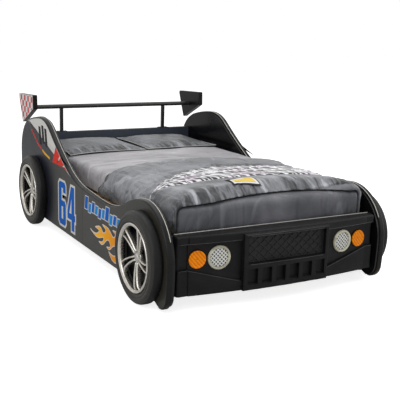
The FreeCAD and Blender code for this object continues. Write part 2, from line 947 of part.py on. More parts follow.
def make_lamps():
    """A bezel and a lens for each round lamp, and the amber lamps in one piece."""
    inner = "round_lamp_radius - bezel_width"
    bezel = [
        (inner, "-lamp_depth"),
        (f"{inner} + lamp_sleeve", "-lamp_depth"),
        (f"{inner} + lamp_sleeve", "0"),
        ("round_lamp_radius", "0"),
        ("round_lamp_radius", "bezel_stand * 0.4"),
        ("round_lamp_radius - bezel_bevel", "bezel_stand"),
        (f"{inner} + bezel_bevel", "bezel_stand"),
        (inner, "bezel_stand * 0.6"),
    ]
    glass = f"{inner} - lamp_clearance"
    rest = "bezel_stand * 0.6 - lens_sink - lens_thick"
    lens = [
        ("0", rest),
        (glass, rest),
        (glass, f"{rest} + lens_thick - lens_dome"),
        (f"({glass}) * 0.6", f"{rest} + lens_thick - lens_dome * 0.3"),
        ("0", f"{rest} + lens_thick"),
    ]
    neck = "amber_lamp_radius - bezel_width + lamp_sleeve"
    amber = [
        ("0", "-lamp_depth"),
        (neck, "-lamp_depth"),
        (neck, "0"),
        ("amber_lamp_radius", "0"),
        ("amber_lamp_radius", "amber_lamp_stand * 0.5"),
        ("amber_lamp_radius - bezel_bevel", "amber_lamp_stand"),
        ("amber_lamp_radius - amber_ring", "amber_lamp_stand"),
        ("amber_lamp_radius - amber_ring - 2", "amber_lamp_stand - amber_groove"),
        ("0", "amber_lamp_stand - amber_groove / 2"),
    ]
    for name, (seat, outward) in lamp_frames().items():
        if name.endswith("round"):
            lamp_piece(name + "_lamp_bezel", bezel, seat, outward)
            lamp_piece(name + "_lamp_lens", lens, seat, outward)
        else:
            lamp_piece(name + "_lamp", amber, seat, outward)


# ---------------------------------------------------------------- cross boards and slatted base


def make_boards():
    """The cross board behind the bumper, and the headboard."""
    block("front_cross_board", [
        ("-half_inner", "half_inner"),
        ("front_y", "front_y + cross_board"),
        ("board_foot", "cross_top"),
    ])
    block("headboard", [
        ("-half_inner", "half_inner"),
        ("front_y + rear_reach", "front_y + back_reach"),
        ("board_foot", "headboard_top"),
    ])


def make_slatted_base():
    """A rail along each side, and the slats that lie across them."""
    near, far = "front_y + cross_board + rail_end_gap", "front_y + rear_reach - rail_end_gap"
    block("right_side_rail", [("half_inner - rail_width", "half_inner"), (near, far),
                              ("rail_low", "slat_low")])
    block("left_side_rail", [("-half_inner", "rail_width - half_inner"), (near, far),
                             ("rail_low", "slat_low")])
    hole = "screw_radius + hole_clearance"
    edge = "rail_width / 2 - slat_side_gap"
    span = "inner_width - 2 * slat_side_gap"
    for number in range(int(size("slat_count"))):
        middle = f"front_y + cross_board + slat_pitch * {number + 0.5}"
        block(f"slat_{number + 1:02d}", [
            ("slat_side_gap - half_inner", "half_inner - slat_side_gap"),
            (f"{middle} - slat_width / 2", f"{middle} + slat_width / 2"),
            ("slat_low", "slat_top"),
        ], holes=[(edge, "slat_width / 2", hole), (f"{span} - ({edge})", "slat_width / 2", hole)])


# ---------------------------------------------------------------- spoiler


def make_spoiler():
    """A round bar between two end plates, on two posts that stand on the headboard."""
    bar = new_body("spoiler_bar", ("-plate_x", "post_y", "bar_height"),
                   Rotation(Vector(0, 1, 0), 90))
    ring = new_sketch(bar, "bar_ring", "XY_Plane")
    circle(ring, "0", "0", "bar_radius")
    circle(ring, "0", "0", "bar_radius - bar_wall")
    pad(bar, "bar_pad", ring, "2 * plate_x")

    for side, sign in SIDES.items():
        post = new_body(f"{side}_spoiler_post", (f"{sign} * post_x", "post_y", "headboard_top"))
        foot = new_sketch(post, "flange_outline", "XY_Plane")
        reach = "flange_length / 2"
        depth = "headboard_thick / 2 - flange_margin"
        corner_lines(foot, [(f"-({reach})", f"-({depth})"), (reach, f"-({depth})"),
                            (reach, depth), (f"-({reach})", depth)])
        for hole_side in (-1, 1):
            circle(foot, f"{hole_side} * (flange_length / 2 - flange_screw_inset)", "0",
                   "screw_radius + hole_clearance")
        pad(post, "flange_pad", foot, "flange_thick")
        shaft = new_sketch(post, "shaft_outline", "XY_Plane")
        half = "post_side / 2"
        corner_lines(shaft, [(f"-({half})", f"-({half})"), (half, f"-({half})"),
                             (half, half), (f"-({half})", half)])
        pad(post, "shaft_pad", shaft, "bar_height - bar_radius - headboard_top")
        make_end_plate(side, sign)


def make_end_plate(side, sign):
    """End plate of the spoiler: upright, along the bed, its rear end cut off short."""
    inner = "plate_x" if sign > 0 else "-plate_x - plate_thick"
    plate = new_body(f"{side}_spoiler_plate", (inner, "front_y + back_reach", "0"))
    outline = new_sketch(plate, f"{side}_plate_outline", "YZ_Plane")
    corner_lines(outline, [
        ("-plate_front_ahead", "plate_top_height"),
        ("-plate_bend_ahead", "plate_bend_height"),
        ("plate_tip_behind", "plate_tip_height"),
        ("plate_rear_behind", "plate_rear_height - plate_rear_edge"),
        ("plate_rear_behind", "plate_rear_height"),
    ])
    slab = pad(plate, f"{side}_plate_pad", outline, "plate_thick")
    doc.recompute()
    thick = size("plate_thick")
    crosswise = [
        f"Edge{number}" for number, edge in enumerate(slab.Shape.Edges, start=1)
        if edge.BoundBox.XLength > thick - 0.01
    ]
    rounding = plate.newObject("PartDesign::Fillet", f"{side}_plate_corners")
    rounding.Base = (slab, crosswise)
    rounding.setExpression("Radius", formula("plate_round"))
    plate.Tip = rounding


# ---------------------------------------------------------------- hardware


def frame_corners():
    """The four inner corners of the frame: side, direction along the bed, and face of the board."""
    for sign in (1, -1):
        yield sign, 1, from_front(size("cross_board"))
        yield sign, -1, from_front(size("rear_reach"))


def make_brackets():
    """A steel angle in each corner of the frame, and its screws."""
    leg, sheet_thick = size("bracket_leg"), size("bracket_sheet")
    low, high = size("bracket_low"), size("bracket_high")
    hole = size("screw_radius + hole_clearance")
    inset = size("bracket_screw_inset")
    along_leg = leg - size("bracket_screw_edge")
    brackets, screws = [], []
    for sign, away, face in frame_corners():
        wall = sign * size("half_inner")
        spans = [
            sorted((wall, wall - sign * leg)) + sorted((face, face + away * sheet_thick)),
            sorted((wall, wall - sign * sheet_thick)) + sorted((face, face + away * leg)),
        ]
        legs = [box((a, c, low), (b, d, high)) for a, b, c, d in spans]
        bracket = legs[0].fuse(legs[1]).removeSplitter()
        for up in (low + inset, high - inset):
            seats = [
                (Vector(wall - sign * along_leg, face + away * sheet_thick, up),
                 Vector(0, -away, 0)),
                (Vector(wall - sign * sheet_thick, face + away * along_leg, up),
                 Vector(sign, 0, 0)),
            ]
            screws += seats
            for seat, direction in seats:
                bracket = bracket.cut(
                    Part.makeCylinder(hole, sheet_thick, seat, direction))
        brackets.append(bracket)
    shaped("corner_brackets", Part.makeCompound(brackets))
    shaped("bracket_screws", screw_set(screws, size("bracket_sheet + board_grip")))


def screw_set(places, length):
    """Pan-head wood screws of one length."""
    return pegs(places, size("screw_radius"), length, size("screw_head"), size("screw_head_thick"))


def make_fasteners():
    """Wheel bolts, and the screws of the slats, rails, bumper and spoiler."""
    bolt_length = size("inner_board + outer_panel + wheel_bolt_grip")
    seats = []
    for seat in wheel_bolt_seats():
        seats.append((seat, Vector(1, 0, 0)))
        seats.append((Vector(-seat.x, seat.y, seat.z), Vector(-1, 0, 0)))
    shaped("wheel_bolts", pegs(seats, size("bolt_radius"), bolt_length,
                               size("bolt_head"), size("bolt_head_thick")))

    rail_middle = size("half_inner - rail_width / 2")
    length = size("slat_thick + screw_grip")
    sunk = []
    for number in range(int(size("slat_count"))):
        along = from_front(size("cross_board") + size("slat_pitch") * (number + 0.5))
        for across in (-rail_middle, rail_middle):
            sunk.append(Part.makeCylinder(
                size("screw_radius"), length, Vector(across, along, size("slat_top") - length)))
    shaped("slat_screws", Part.makeCompound(sunk))

    places = []
    count = int(size("rail_screw_count"))
    for number in range(count):
        along = from_front(size("cross_board") + size("inner_length") * (number + 0.5) / count)
        for sign in (1, -1):
            places.append((Vector(sign * size("half_inner - rail_width"), along,
                                  size("rail_low + rail_height / 2")), Vector(sign, 0, 0)))
    shaped("rail_screws", screw_set(places, size("rail_width + board_grip")))

    places = [(Vector(across, from_front(size("cross_board")), up), Vector(0, -1, 0))
              for across, up in bumper_boss_spots()]
    shaped("bumper_screws", screw_set(places, size("cross_board + screw_grip")))

    places = []
    for sign in (1, -1):
        for side in (1, -1):
            across = sign * size("post_x") + side * size("flange_length / 2 - flange_screw_inset")
            places.append((Vector(across, size("post_y"), size("headboard_top + flange_thick")),
                           Vector(0, 0, -1)))
    shaped("spoiler_screws", screw_set(places, size("flange_thick + spoiler_screw_grip")))


# ---------------------------------------------------------------- bedding


def rounded_section(along, half, low, edge, crown, corner):
    """Upright section of a stuffed pad: flat below, rounded corners, bulged sides, crowned top."""
    bulge = size("mattress_bulge")
    bend = corner * (1 - math.sqrt(0.5))

    def spot(across, up):
        return Vector(across, along, up)

    curves = [
        Part.LineSegment(spot(-half + corner, low), spot(half - corner, low)),
        Part.Arc(spot(-half + corner, edge), spot(0, edge + crown), spot(half - corner, edge)),
    ]
    for sign in (1, -1):
        curves += [
            Part.Arc(spot(sign * (half - corner), low), spot(sign * (half - bend), low + bend),
                     spot(sign * half, low + corner)),
            Part.Arc(spot(sign * half, low + corner),
                     spot(sign * (half + bulge), (low + edge) / 2),
                     spot(sign * half, edge - corner)),
            Part.Arc(spot(sign * half, edge - corner), spot(sign * (half - bend), edge - bend),
                     spot(sign * (half - corner), edge)),
        ]
    return Part.Wire(Part.__sortEdges__([curve.toShape() for curve in curves]))


def mattress_shape():
    """The mattress: crowned, its sides bulged between drawn-in ends."""
    start, end = from_front(size("mattress_start")), from_front(size("mattress_end"))
    corner = size("mattress_corner")
    stations = [(0, 1), (0.15, 0.55), (0.5, 0.16), (1, 0)]
    places = [(start + corner * run, corner * draw) for run, draw in stations]
    places += [(end - corner * run, corner * draw) for run, draw in reversed(stations)]
    wires = []
    for along, draw in places:
        wires.append(rounded_section(
            along, size("mattress_half - mattress_bulge") - draw * 0.6,
            size("mattress_low") + draw * 0.3, size("mattress_edge") - draw * 0.6,
            size("mattress_crown"), corner))
    return Part.makeLoft(wires, True, True)


def cover_section(along, thick, drop, puff):
    """Section of a cover over the mattress: an upturned U with a crowned top and hanging sides."""
    gap = size("cloth_gap")
    inner = size("mattress_half") + gap
    level = size("mattress_edge") + gap
    crown = size("mattress_crown")
    corner = size("cover_corner")
    outer_corner = corner + thick * 0.6
    bend, outer_bend = (radius * (1 - math.sqrt(0.5)) for radius in (corner, outer_corner))
    outer = inner + thick * 0.8 + size("cover_fill")
    top = level + thick
    low = size("mattress_edge") - drop

    def spot(across, up):
        return Vector(across, along, up)

    curves = [
        Part.Arc(spot(-inner + corner, level), spot(0, level + crown), spot(inner - corner, level)),
        Part.Arc(spot(-outer + outer_corner, top), spot(0, top + crown + puff),
                 spot(outer - outer_corner, top)),
    ]
    for sign in (1, -1):
        curves += [
            Part.Arc(spot(sign * (inner - corner), level),
                     spot(sign * (inner - bend), level - bend), spot(sign * inner, level - corner)),
            Part.LineSegment(spot(sign * inner, level - corner), spot(sign * inner, low)),
            Part.LineSegment(spot(sign * inner, low), spot(sign * outer, low + 4)),
            Part.LineSegment(spot(sign * outer, low + 4), spot(sign * outer, top - outer_corner)),
            Part.Arc(spot(sign * outer, top - outer_corner),
                     spot(sign * (outer - outer_bend), top - outer_bend),
                     spot(sign * (outer - outer_corner), top)),
        ]
    return Part.Wire(Part.__sortEdges__([curve.toShape() for curve in curves]))


def duvet_shape():
    """The duvet: rounded hems, and soft waves that run across it."""
    start, end = size("duvet_start"), size("duvet_end")
    thick, drop = size("duvet_thick"), size("duvet_drop")
    waves = int(size("duvet_waves"))
    stations = 4 * waves
    wires = []
    for station in range(stations + 1):
        share = station / stations
        along = from_front(start + (end - start) * share)
        swell = abs(math.sin(math.pi * waves * share))
        hem = min(1, share * 9 + 0.35, (1 - share) * 9 + 0.55)
        puff = size("duvet_puff") * swell
        fall = drop * (1 - 0.07 * math.cos(2 * math.pi * waves * share))
        wires.append(cover_section(along, thick * hem, fall, puff))
    return Part.makeLoft(wires, True, True)


def sheet_shape():
    """The light top sheet between the duvet and the pillows."""
    start = size("duvet_end") + 1
    end = size("pillow_start - sheet_end_gap")
    wires = [cover_section(from_front(along), size("sheet_thick"), size("sheet_drop"), 0)
             for along in (start, end)]
    return Part.makeLoft(wires, True, True)


def pillow_shape():
    """The right pillow: thin at its hems, crowned, its sides drawn in between the corners."""
    west = size("pillow_middle_gap / 2")
    east = size("mattress_half - pillow_side_gap")
    middle, half = (west + east) / 2, (east - west) / 2
    low = size("mattress_top + pillow_clearance")
    start, depth = size("pillow_start"), size("pillow_depth")
    edge = size("pillow_edge")
    stations = 10
    wires = []
    for station in range(stations + 1):
        share = station / stations
        fullness = math.sin(math.pi * share) ** 0.6
        side = half - size("pillow_pull") * math.sin(math.pi * share)
        along = from_front(start + depth * share)
        rise = edge + (size("pillow_thick") - edge) * fullness
        shoulder = edge + (rise - edge) * 0.55

        def spot(across, up):
            return Vector(middle + across, along, low + up)

        curves = [
            Part.LineSegment(spot(-side, 0), spot(side, 0)),
            Part.LineSegment(spot(-side, 0), spot(-side, edge * 0.8)),
            Part.LineSegment(spot(side, 0), spot(side, edge * 0.8)),
            Part.LineSegment(spot(-side, edge * 0.8), spot(-side * 0.8, shoulder)),
            Part.LineSegment(spot(side, edge * 0.8), spot(side * 0.8, shoulder)),
            Part.Arc(spot(-side * 0.8, shoulder), spot(0, rise + 1), spot(side * 0.8, shoulder)),
        ]
        wires.append(Part.Wire(Part.__sortEdges__([curve.toShape() for curve in curves])))
    return Part.makeLoft(wires, True, True)


def make_bedding():
    """Mattress, duvet, top sheet and two pillows."""
    shaped("mattress", mattress_shape())
    shaped("duvet", duvet_shape())
    shaped("top_sheet", sheet_shape())
    pillow = pillow_shape()
    shaped("right_pillow", pillow)
    shaped("left_pillow", mirrored(pillow))


# ---------------------------------------------------------------- build, check and write

make_side_panels()
make_wheels()
make_bumper()
make_boards()
make_slatted_base()
make_spoiler()
make_brackets()
make_fasteners()
make_bedding()
doc.recompute()

for item in doc.Objects:
    if "Invalid" in item.State or "Error" in item.State:
        raise RuntimeError(f"{item.Label} did not build: {item.State}")

pieces = [item for item in doc.Objects if item.TypeId in ("PartDesign::Body", "Part::Feature")]
os.makedirs("parts", exist_ok=True)
for piece in pieces:
    shape = piece.Shape
    if shape.isNull() or not shape.isValid() or shape.Volume <= 0:
        raise RuntimeError(f"{piece.Label} has no sound shape")
for piece in pieces:
    raised = piece.Shape.translated(Vector(0, 0, size("ride_height")))
    raised.exportStep(f"parts/{piece.Label}.step")
    print(f"{piece.Label}: {len(raised.Solids)} solid(s), {raised.Volume / 1000:.1f} cm3")
print(f"{len(pieces)} pieces")
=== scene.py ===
"""Looks of a children's racing car bed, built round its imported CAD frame.

Everything is in metres: X across the bed, Y from its front to its rear, Z up. The heights
below are measured from a level RIDE above the floor, and every piece is raised by it when made.
"""

import logging
import math
from dataclasses import dataclass, field
from enum import Enum
from typing import Callable, Iterable, Sequence

import bmesh
import bpy
import numpy as np
from mathutils import Matrix, Vector, geometry, noise


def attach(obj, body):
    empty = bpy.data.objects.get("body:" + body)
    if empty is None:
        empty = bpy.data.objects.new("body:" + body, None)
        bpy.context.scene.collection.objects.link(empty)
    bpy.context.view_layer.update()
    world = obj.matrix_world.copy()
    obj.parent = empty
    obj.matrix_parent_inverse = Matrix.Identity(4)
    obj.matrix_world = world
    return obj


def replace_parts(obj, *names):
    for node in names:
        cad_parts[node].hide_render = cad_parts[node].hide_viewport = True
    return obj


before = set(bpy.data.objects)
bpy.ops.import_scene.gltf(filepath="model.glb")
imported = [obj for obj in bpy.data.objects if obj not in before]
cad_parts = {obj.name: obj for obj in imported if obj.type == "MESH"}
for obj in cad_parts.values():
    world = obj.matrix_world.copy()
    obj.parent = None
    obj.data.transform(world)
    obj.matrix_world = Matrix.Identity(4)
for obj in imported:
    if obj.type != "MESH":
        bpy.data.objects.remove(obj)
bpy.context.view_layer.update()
log = logging.getLogger("car_bed")

# Metres: the level that heights are measured from, CAD vertices that count as one, how near a
# plane a CAD vertex lies on it, the rise of each film above the last, and a film's hidden foot.
RIDE = 0.030
WELD = 2e-5
ON_PLANE = 2e-4
FILM_STEP = 0.00025
FILM_FOOT = 0.00005
# Place across the bed where the duvet's rear fold reaches furthest back.
FOLD_MIDDLE = -0.03
TUBE_SIDES = 8

Colour = tuple[float, float, float]
Spot = tuple[float, float]
Socket = bpy.types.NodeSocket
Piece = bpy.types.Object
Finish = bpy.types.Material
Value = bpy.types.NodeSocket | float
Tint = bpy.types.NodeSocket | Colour


class Side(Enum):
    """The two sides of the bed, by the sign of X."""

    LEFT = -1
    RIGHT = 1

    @property
    def word(self) -> str:
        """The side's name as the CAD nodes spell it."""
        return self.name.lower()


class Body(Enum):
    """The CAD bodies that pieces ride on."""

    BED = "bed"
    MATTRESS = "mattress"
    DUVET = "duvet"
    LEFT_PILLOW = "left_pillow"
    RIGHT_PILLOW = "right_pillow"


def paint(red: float, green: float, blue: float) -> Colour:
    """Turn a colour as a screen shows it into the linear one that shaders take.

    Args:
        red: Red from 0 to 255.
        green: Green from 0 to 255.
        blue: Blue from 0 to 255.

    Returns:
        The linear colour.
    """
    linear = []
    for value in (red, green, blue):
        share = value / 255
        linear.append(share / 12.92 if share <= 0.04045 else ((share + 0.055) / 1.055) ** 2.4)
    return linear[0], linear[1], linear[2]


def shade(colour: Colour, share: float) -> Colour:
    """A colour made darker or brighter, with no part above 1."""
    return tuple(min(1.0, part * share) for part in colour)


def clamped(value: float) -> float:
    """A number kept from 0 to 1."""
    return min(1.0, max(0.0, value))


def bell(value: float, middle: float, width: float) -> float:
    """A smooth bump of height 1 about a middle."""
    return math.exp(-((value - middle) / width) ** 2)


# ---------------------------------------------------------------- shader building


class Shader:
    """One material under construction, with short calls for the nodes it is made of."""

    def __init__(self, name: str) -> None:
        """Start an empty material round one Principled shader."""
        self.material = bpy.data.materials.new(name)
        self.material.use_nodes = True
        tree = self.material.node_tree
        tree.nodes.clear()
        self.nodes, self.links = tree.nodes, tree.links
        self.surface = self.nodes.new("ShaderNodeBsdfPrincipled")
        output = self.nodes.new("ShaderNodeOutputMaterial")
        self.links.new(self.surface.outputs[0], output.inputs[0])
        self._place = self.nodes.new("ShaderNodeTexCoord").outputs["Object"]
        self._split = self._apart(self._place)

    def _apart(self, vector: Socket) -> bpy.types.Node:
        """Give the node that splits a vector into X, Y and Z."""
        split = self.nodes.new("ShaderNodeSeparateXYZ")
        self.links.new(vector, split.inputs[0])
        return split

    def feed(self, socket: Socket, value: Socket | float | Sequence[float]) -> None:
        """Link a socket to another one, or set its own value."""
        if isinstance(value, bpy.types.NodeSocket):
            self.links.new(value, socket)
        elif isinstance(value, (int, float)):
            socket.default_value = value
        else:
            full = tuple(value) + (1.0,) if len(value) == 3 and socket.type == "RGBA" else tuple(value)
            socket.default_value = full

    def across(self) -> Socket:
        """Place along X, in metres."""
        return self._split.outputs[0]

    def along(self) -> Socket:
        """Place along Y, in metres."""
        return self._split.outputs[1]

    def height(self) -> Socket:
        """Place along Z above the RIDE level, in metres."""
        return self.minus(self._split.outputs[2], RIDE)

    def facing(self, axis: int) -> Socket:
        """How squarely the surface faces along one axis, from 0 to 1."""
        normal = self._apart(self.nodes.new("ShaderNodeNewGeometry").outputs["Normal"])
        return self.reckon("ABSOLUTE", normal.outputs[axis])

    def stretched(self, scale: Sequence[float], turn: Sequence[float] = (0, 0, 0)) -> Socket:
        """Place, scaled and turned, for a texture with a direction.

        Args:
            scale: Scale along each axis.
            turn: Turn about each axis, in radians.

        Returns:
            The mapped place.
        """
        mapping = self.nodes.new("ShaderNodeMapping")
        self.feed(mapping.inputs["Vector"], self._place)
        self.feed(mapping.inputs["Scale"], scale)
        self.feed(mapping.inputs["Rotation"], turn)
        return mapping.outputs[0]

    def mottle(self, scale: float, detail: float = 3.0, warp: float = 0.0,
               place: Socket | None = None) -> Socket:
        """Soft noise.

        Args:
            scale: Waves per metre.
            detail: Octaves.
            warp: How far the noise distorts itself.
            place: Mapped place, or the plain one.

        Returns:
            The noise, from 0 to 1.
        """
        node = self.nodes.new("ShaderNodeTexNoise")
        self.feed(node.inputs["Vector"], place or self._place)
        self.feed(node.inputs["Scale"], scale)
        self.feed(node.inputs["Detail"], detail)
        self.feed(node.inputs["Distortion"], warp)
        return node.outputs[0]

    def cells(self, scale: float) -> Socket:
        """Cell pattern.

        Args:
            scale: Cells per metre.

        Returns:
            The distance to the nearest cell's centre.
        """
        node = self.nodes.new("ShaderNodeTexVoronoi")
        self.feed(node.inputs["Vector"], self._place)
        self.feed(node.inputs["Scale"], scale)
        return node.outputs[0]

    def ribs(self, scale: float, direction: str = "X", warp: float = 0.0,
             place: Socket | None = None) -> Socket:
        """Even parallel bands.

        Args:
            scale: The wave node's scale: about 3.2 bands per metre for each unit.
            direction: The axis across the bands.
            warp: How far noise bends them.
            place: Mapped place, or the plain one.

        Returns:
            The wave, from 0 to 1.
        """
        node = self.nodes.new("ShaderNodeTexWave")
        node.bands_direction = direction
        self.feed(node.inputs["Vector"], place or self._place)
        self.feed(node.inputs["Scale"], scale)
        self.feed(node.inputs["Distortion"], warp)
        self.feed(node.inputs["Detail"], 1.0)
        return node.outputs[1]

    def reckon(self, operation: str, first: Value, second: Value = 0.0,
               clamp: bool = False) -> Socket:
        """One step of arithmetic.

        Args:
            operation: The Math node's operation.
            first: First number.
            second: Second number.
            clamp: Keep the result from 0 to 1.

        Returns:
            The result.
        """
        node = self.nodes.new("ShaderNodeMath")
        node.operation = operation
        node.use_clamp = clamp
        self.feed(node.inputs[0], first)
        self.feed(node.inputs[1], second)
        return node.outputs[0]

    def times(self, first: Value, second: Value, clamp: bool = False) -> Socket:
        """Product of two numbers."""
        return self.reckon("MULTIPLY", first, second, clamp)

    def plus(self, first: Value, second: Value) -> Socket:
        """Sum of two numbers."""
        return self.reckon("ADD", first, second)

    def minus(self, first: Value, second: Value, clamp: bool = False) -> Socket:
        """First number less the second."""
        return self.reckon("SUBTRACT", first, second, clamp)

    def rough(self, pattern: Socket, spread: float, base: float) -> Socket:
        """Roughness that follows a pattern.

        Args:
            pattern: A pattern from 0 to 1.
            spread: What 1 adds.
            base: The roughness at 0.

        Returns:
            The roughness.
        """
        scaled = self.reckon("MULTIPLY_ADD", pattern, spread)
        scaled.node.inputs[2].default_value = base
        return scaled

    def step(self, value: Socket, low: float, high: float) -> Socket:
        """Rise smoothly from 0 at low to 1 at high; the other way round if low is the larger.

        Args:
            value: The number.
            low: Where the result is 0.
            high: Where it is 1.

        Returns:
            The share.
        """
        node = self.nodes.new("ShaderNodeMapRange")
        node.interpolation_type = "SMOOTHSTEP"
        flip = low > high
        self.feed(node.inputs["Value"], value)
        self.feed(node.inputs["From Min"], min(low, high))
        self.feed(node.inputs["From Max"], max(low, high))
        self.feed(node.inputs["To Min"], 1.0 if flip else 0.0)
        self.feed(node.inputs["To Max"], 0.0 if flip else 1.0)
        return node.outputs[0]

    def mix(self, share: Value, first: Tint, second: Tint) -> Socket:
        """Mix two colours.

        Args:
            share: 0 for the first, 1 for the second.
            first: First colour.
            second: Second colour.

        Returns:
            The mixed colour.
        """
        node = self.nodes.new("ShaderNodeMix")
        node.data_type = "RGBA"
        self.feed(node.inputs[0], share)
        self.feed(node.inputs[6], first)
        self.feed(node.inputs[7], second)
        return node.outputs[2]

    def relief(self, height: Socket, depth: float, under: Socket | None = None) -> Socket:
        """Bump.

        Args:
            height: The height, from 0 to 1.
            depth: What 1 stands for, in metres.
            under: The normal that it adds to.

        Returns:
            The normal.
        """
        node = self.nodes.new("ShaderNodeBump")
        self.feed(node.inputs["Height"], height)
        self.feed(node.inputs["Distance"], depth)
        self.feed(node.inputs["Strength"], 1.0)
        if under is not None:
            self.feed(node.inputs["Normal"], under)
        return node.outputs[0]

    def done(self, colour: Tint, roughness: Value,
             normal: Socket | None = None, **fixed: float | Colour) -> Finish:
        """Set the surface and give the material.

        Args:
            colour: Base colour.
            roughness: Roughness.
            normal: Bumped normal.
            **fixed: Other inputs of the Principled shader, spelt with underscores.

        Returns:
            The material.
        """
        self.feed(self.surface.inputs["Base Color"], colour)
        self.feed(self.surface.inputs["Roughness"], roughness)
        if normal is not None:
            self.feed(self.surface.inputs["Normal"], normal)
        for key, value in fixed.items():
            self.feed(self.surface.inputs[key.replace("_", " ")], value)
        return self.material


# ---------------------------------------------------------------- finishes


@dataclass(frozen=True)
class Lacquer:
    """Sprayed board: a satin face, darker round its edges."""

    name: str
    face: Colour
    edge: Colour
    roughness: float = 0.34
    gloss: float = 0.5
    face_axis: int = 0
    tint: Colour | None = None
    tint_from: float = 0.0
    tint_to: float = 1.0

    def material(self) -> Finish:
        """Build the material, with spray mottle, orange peel, worn edges and, where a shade colour is
        given, a painted shade that darkens the face along the bed.
        """
        make = Shader(self.name)
        face = make.mix(make.mottle(5.0), self.face, shade(self.face, 1.25))
        # Painted shade: the face fades to a bluish dark along the bed, as over the rear of each side
        # panel.
        if self.tint is not None:
            painted_shade_share = make.step(make.along(), self.tint_from, self.tint_to)
            face = make.mix(painted_shade_share, face, self.tint)
        square = make.step(make.facing(self.face_axis), 0.90, 0.995)
        scuff = make.step(make.mottle(140.0, 4.0), 0.66, 0.80)
        colour = make.mix(square, self.edge, face)
        worn = make.times(scuff, make.minus(1.0, square))
        colour = make.mix(make.times(worn, 0.25), colour, paint(118, 116, 112))
        smear = make.mottle(9.0, 5.0, 0.6)
        rough = make.rough(smear, 0.10, self.roughness - 0.05)
        rough_edge = make.minus(rough, make.times(worn, -0.2))
        peel = make.relief(make.mottle(420.0, 2.0), 0.00012)
        return make.done(colour, rough_edge, peel, Specular_IOR_Level=self.gloss)


@dataclass(frozen=True)
class Moulding:
    """Moulded plastic with a fine pressed-in grain."""

    name: str
    colour: Colour
    roughness: float = 0.55
    gloss: float = 0.3
    grain: float = 900.0
    depth: float = 0.00018

    def material(self) -> Finish:
        """Build the material, with pebble grain, flow marks and rubbed high spots."""
        make = Shader(self.name)
        flow = make.mottle(6.0, 4.0, 0.8, make.stretched((1.0, 1.0, 2.6)))
        dark = shade(self.colour, 0.7)
        light = shade(self.colour, 1.5)
        colour = make.mix(make.step(flow, 0.3, 0.75), dark, light)
        rub = make.step(make.mottle(60.0, 5.0), 0.68, 0.82)
        colour = make.mix(make.times(rub, 0.12), colour, paint(96, 94, 90))
        rough = make.rough(flow, 0.16, self.roughness - 0.08)
        pebble = make.relief(make.cells(self.grain), self.depth)
        normal = make.relief(make.mottle(26.0, 2.0), 0.0006, pebble)
        return make.done(colour, rough, normal, Specular_IOR_Level=self.gloss)


@dataclass(frozen=True)
class TyreRubber:
    """Moulded tyre: olive-dark ribbed sidewall and a smooth satin tread."""

    name: str
    wall: Colour
    tread: Colour

    def material(self) -> Finish:
        """Build the material; the sidewall is what faces along X."""
        make = Shader(self.name)
        side = make.step(make.facing(0), 0.35, 0.8)
        dust = make.mottle(14.0, 5.0, 0.5)
        wall = make.mix(dust, self.wall, shade(self.wall, 1.35))
        tread = make.mix(dust, self.tread, shade(self.tread, 1.6))
        colour = make.mix(side, tread, wall)
        rough = make.rough(dust, 0.18, 0.34)
        normal = make.relief(make.cells(520.0), 0.0002)
        return make.done(colour, rough, normal, Specular_IOR_Level=0.22)


@dataclass(frozen=True)
class Metal:
    """Metal or metal paint with a brushed direction and slight tarnish."""

    name: str
    colour: Colour
    shade: Colour
    roughness: float = 0.3
    metallic: float = 1.0
    brushed: tuple[float, float, float] = (60.0, 6.0, 60.0)

    def material(self) -> Finish:
        """Build the material."""
        make = Shader(self.name)
        brush = make.mottle(12.0, 5.0, 0.0, make.stretched(self.brushed))
        stain = make.step(make.mottle(26.0, 4.0, 0.4), 0.45, 0.8)
        colour = make.mix(brush, self.colour, shade(self.colour, 0.86))
        colour = make.mix(make.times(stain, 0.5), colour, self.shade)
        rough = make.rough(brush, 0.16, self.roughness - 0.08)
        normal = make.relief(brush, 0.00005)
        return make.done(colour, rough, normal, Metallic=self.metallic)


@dataclass(frozen=True)
class LampGlass:
    """Clear lamp lens pressed with a fine wavy mesh."""

    name: str
    light: Colour
    dark: Colour

    def material(self) -> Finish:
        """Build the material: crossing ribs, dark in their valleys."""
        make = Shader(self.name)
        first = make.ribs(24.0, "X", 0.8, make.stretched((1, 1, 1), (0, 0.8, 0)))
        second = make.ribs(24.0, "X", 0.8, make.stretched((1, 1, 1), (0, -0.75, 0)))
        mesh = make.reckon("MAXIMUM", first, second)
        colour = make.mix(make.step(mesh, 0.45, 0.95), self.dark, self.light)
        normal = make.relief(mesh, 0.0022)
        rough = make.rough(make.mottle(90.0), 0.14, 0.16)
        return make.done(colour, rough, normal, Coat_Weight=0.6, Coat_Roughness=0.08)


@dataclass(frozen=True)
class AmberLens:
    """Amber lens: ribs run down to the right inside a brighter ring."""

    name: str
    light: Colour
    deep: Colour

    def material(self) -> Finish:
        """Build the material."""
        make = Shader(self.name)
        ribs = make.ribs(24.0, "X", 0.15, make.stretched((1, 1, 1), (0, 0.72, 0)))
        cloud = make.mottle(30.0, 3.0)
        colour = make.mix(make.times(ribs, 0.75), self.light, self.deep)
        colour = make.mix(make.times(cloud, 0.35), colour, self.deep)
        rough = make.rough(cloud, 0.15, 0.2)
        normal = make.relief(ribs, 0.0008)
        return make.done(colour, rough, normal, Specular_IOR_Level=0.1, Coat_Weight=0.08,
                         Coat_Roughness=0.1)


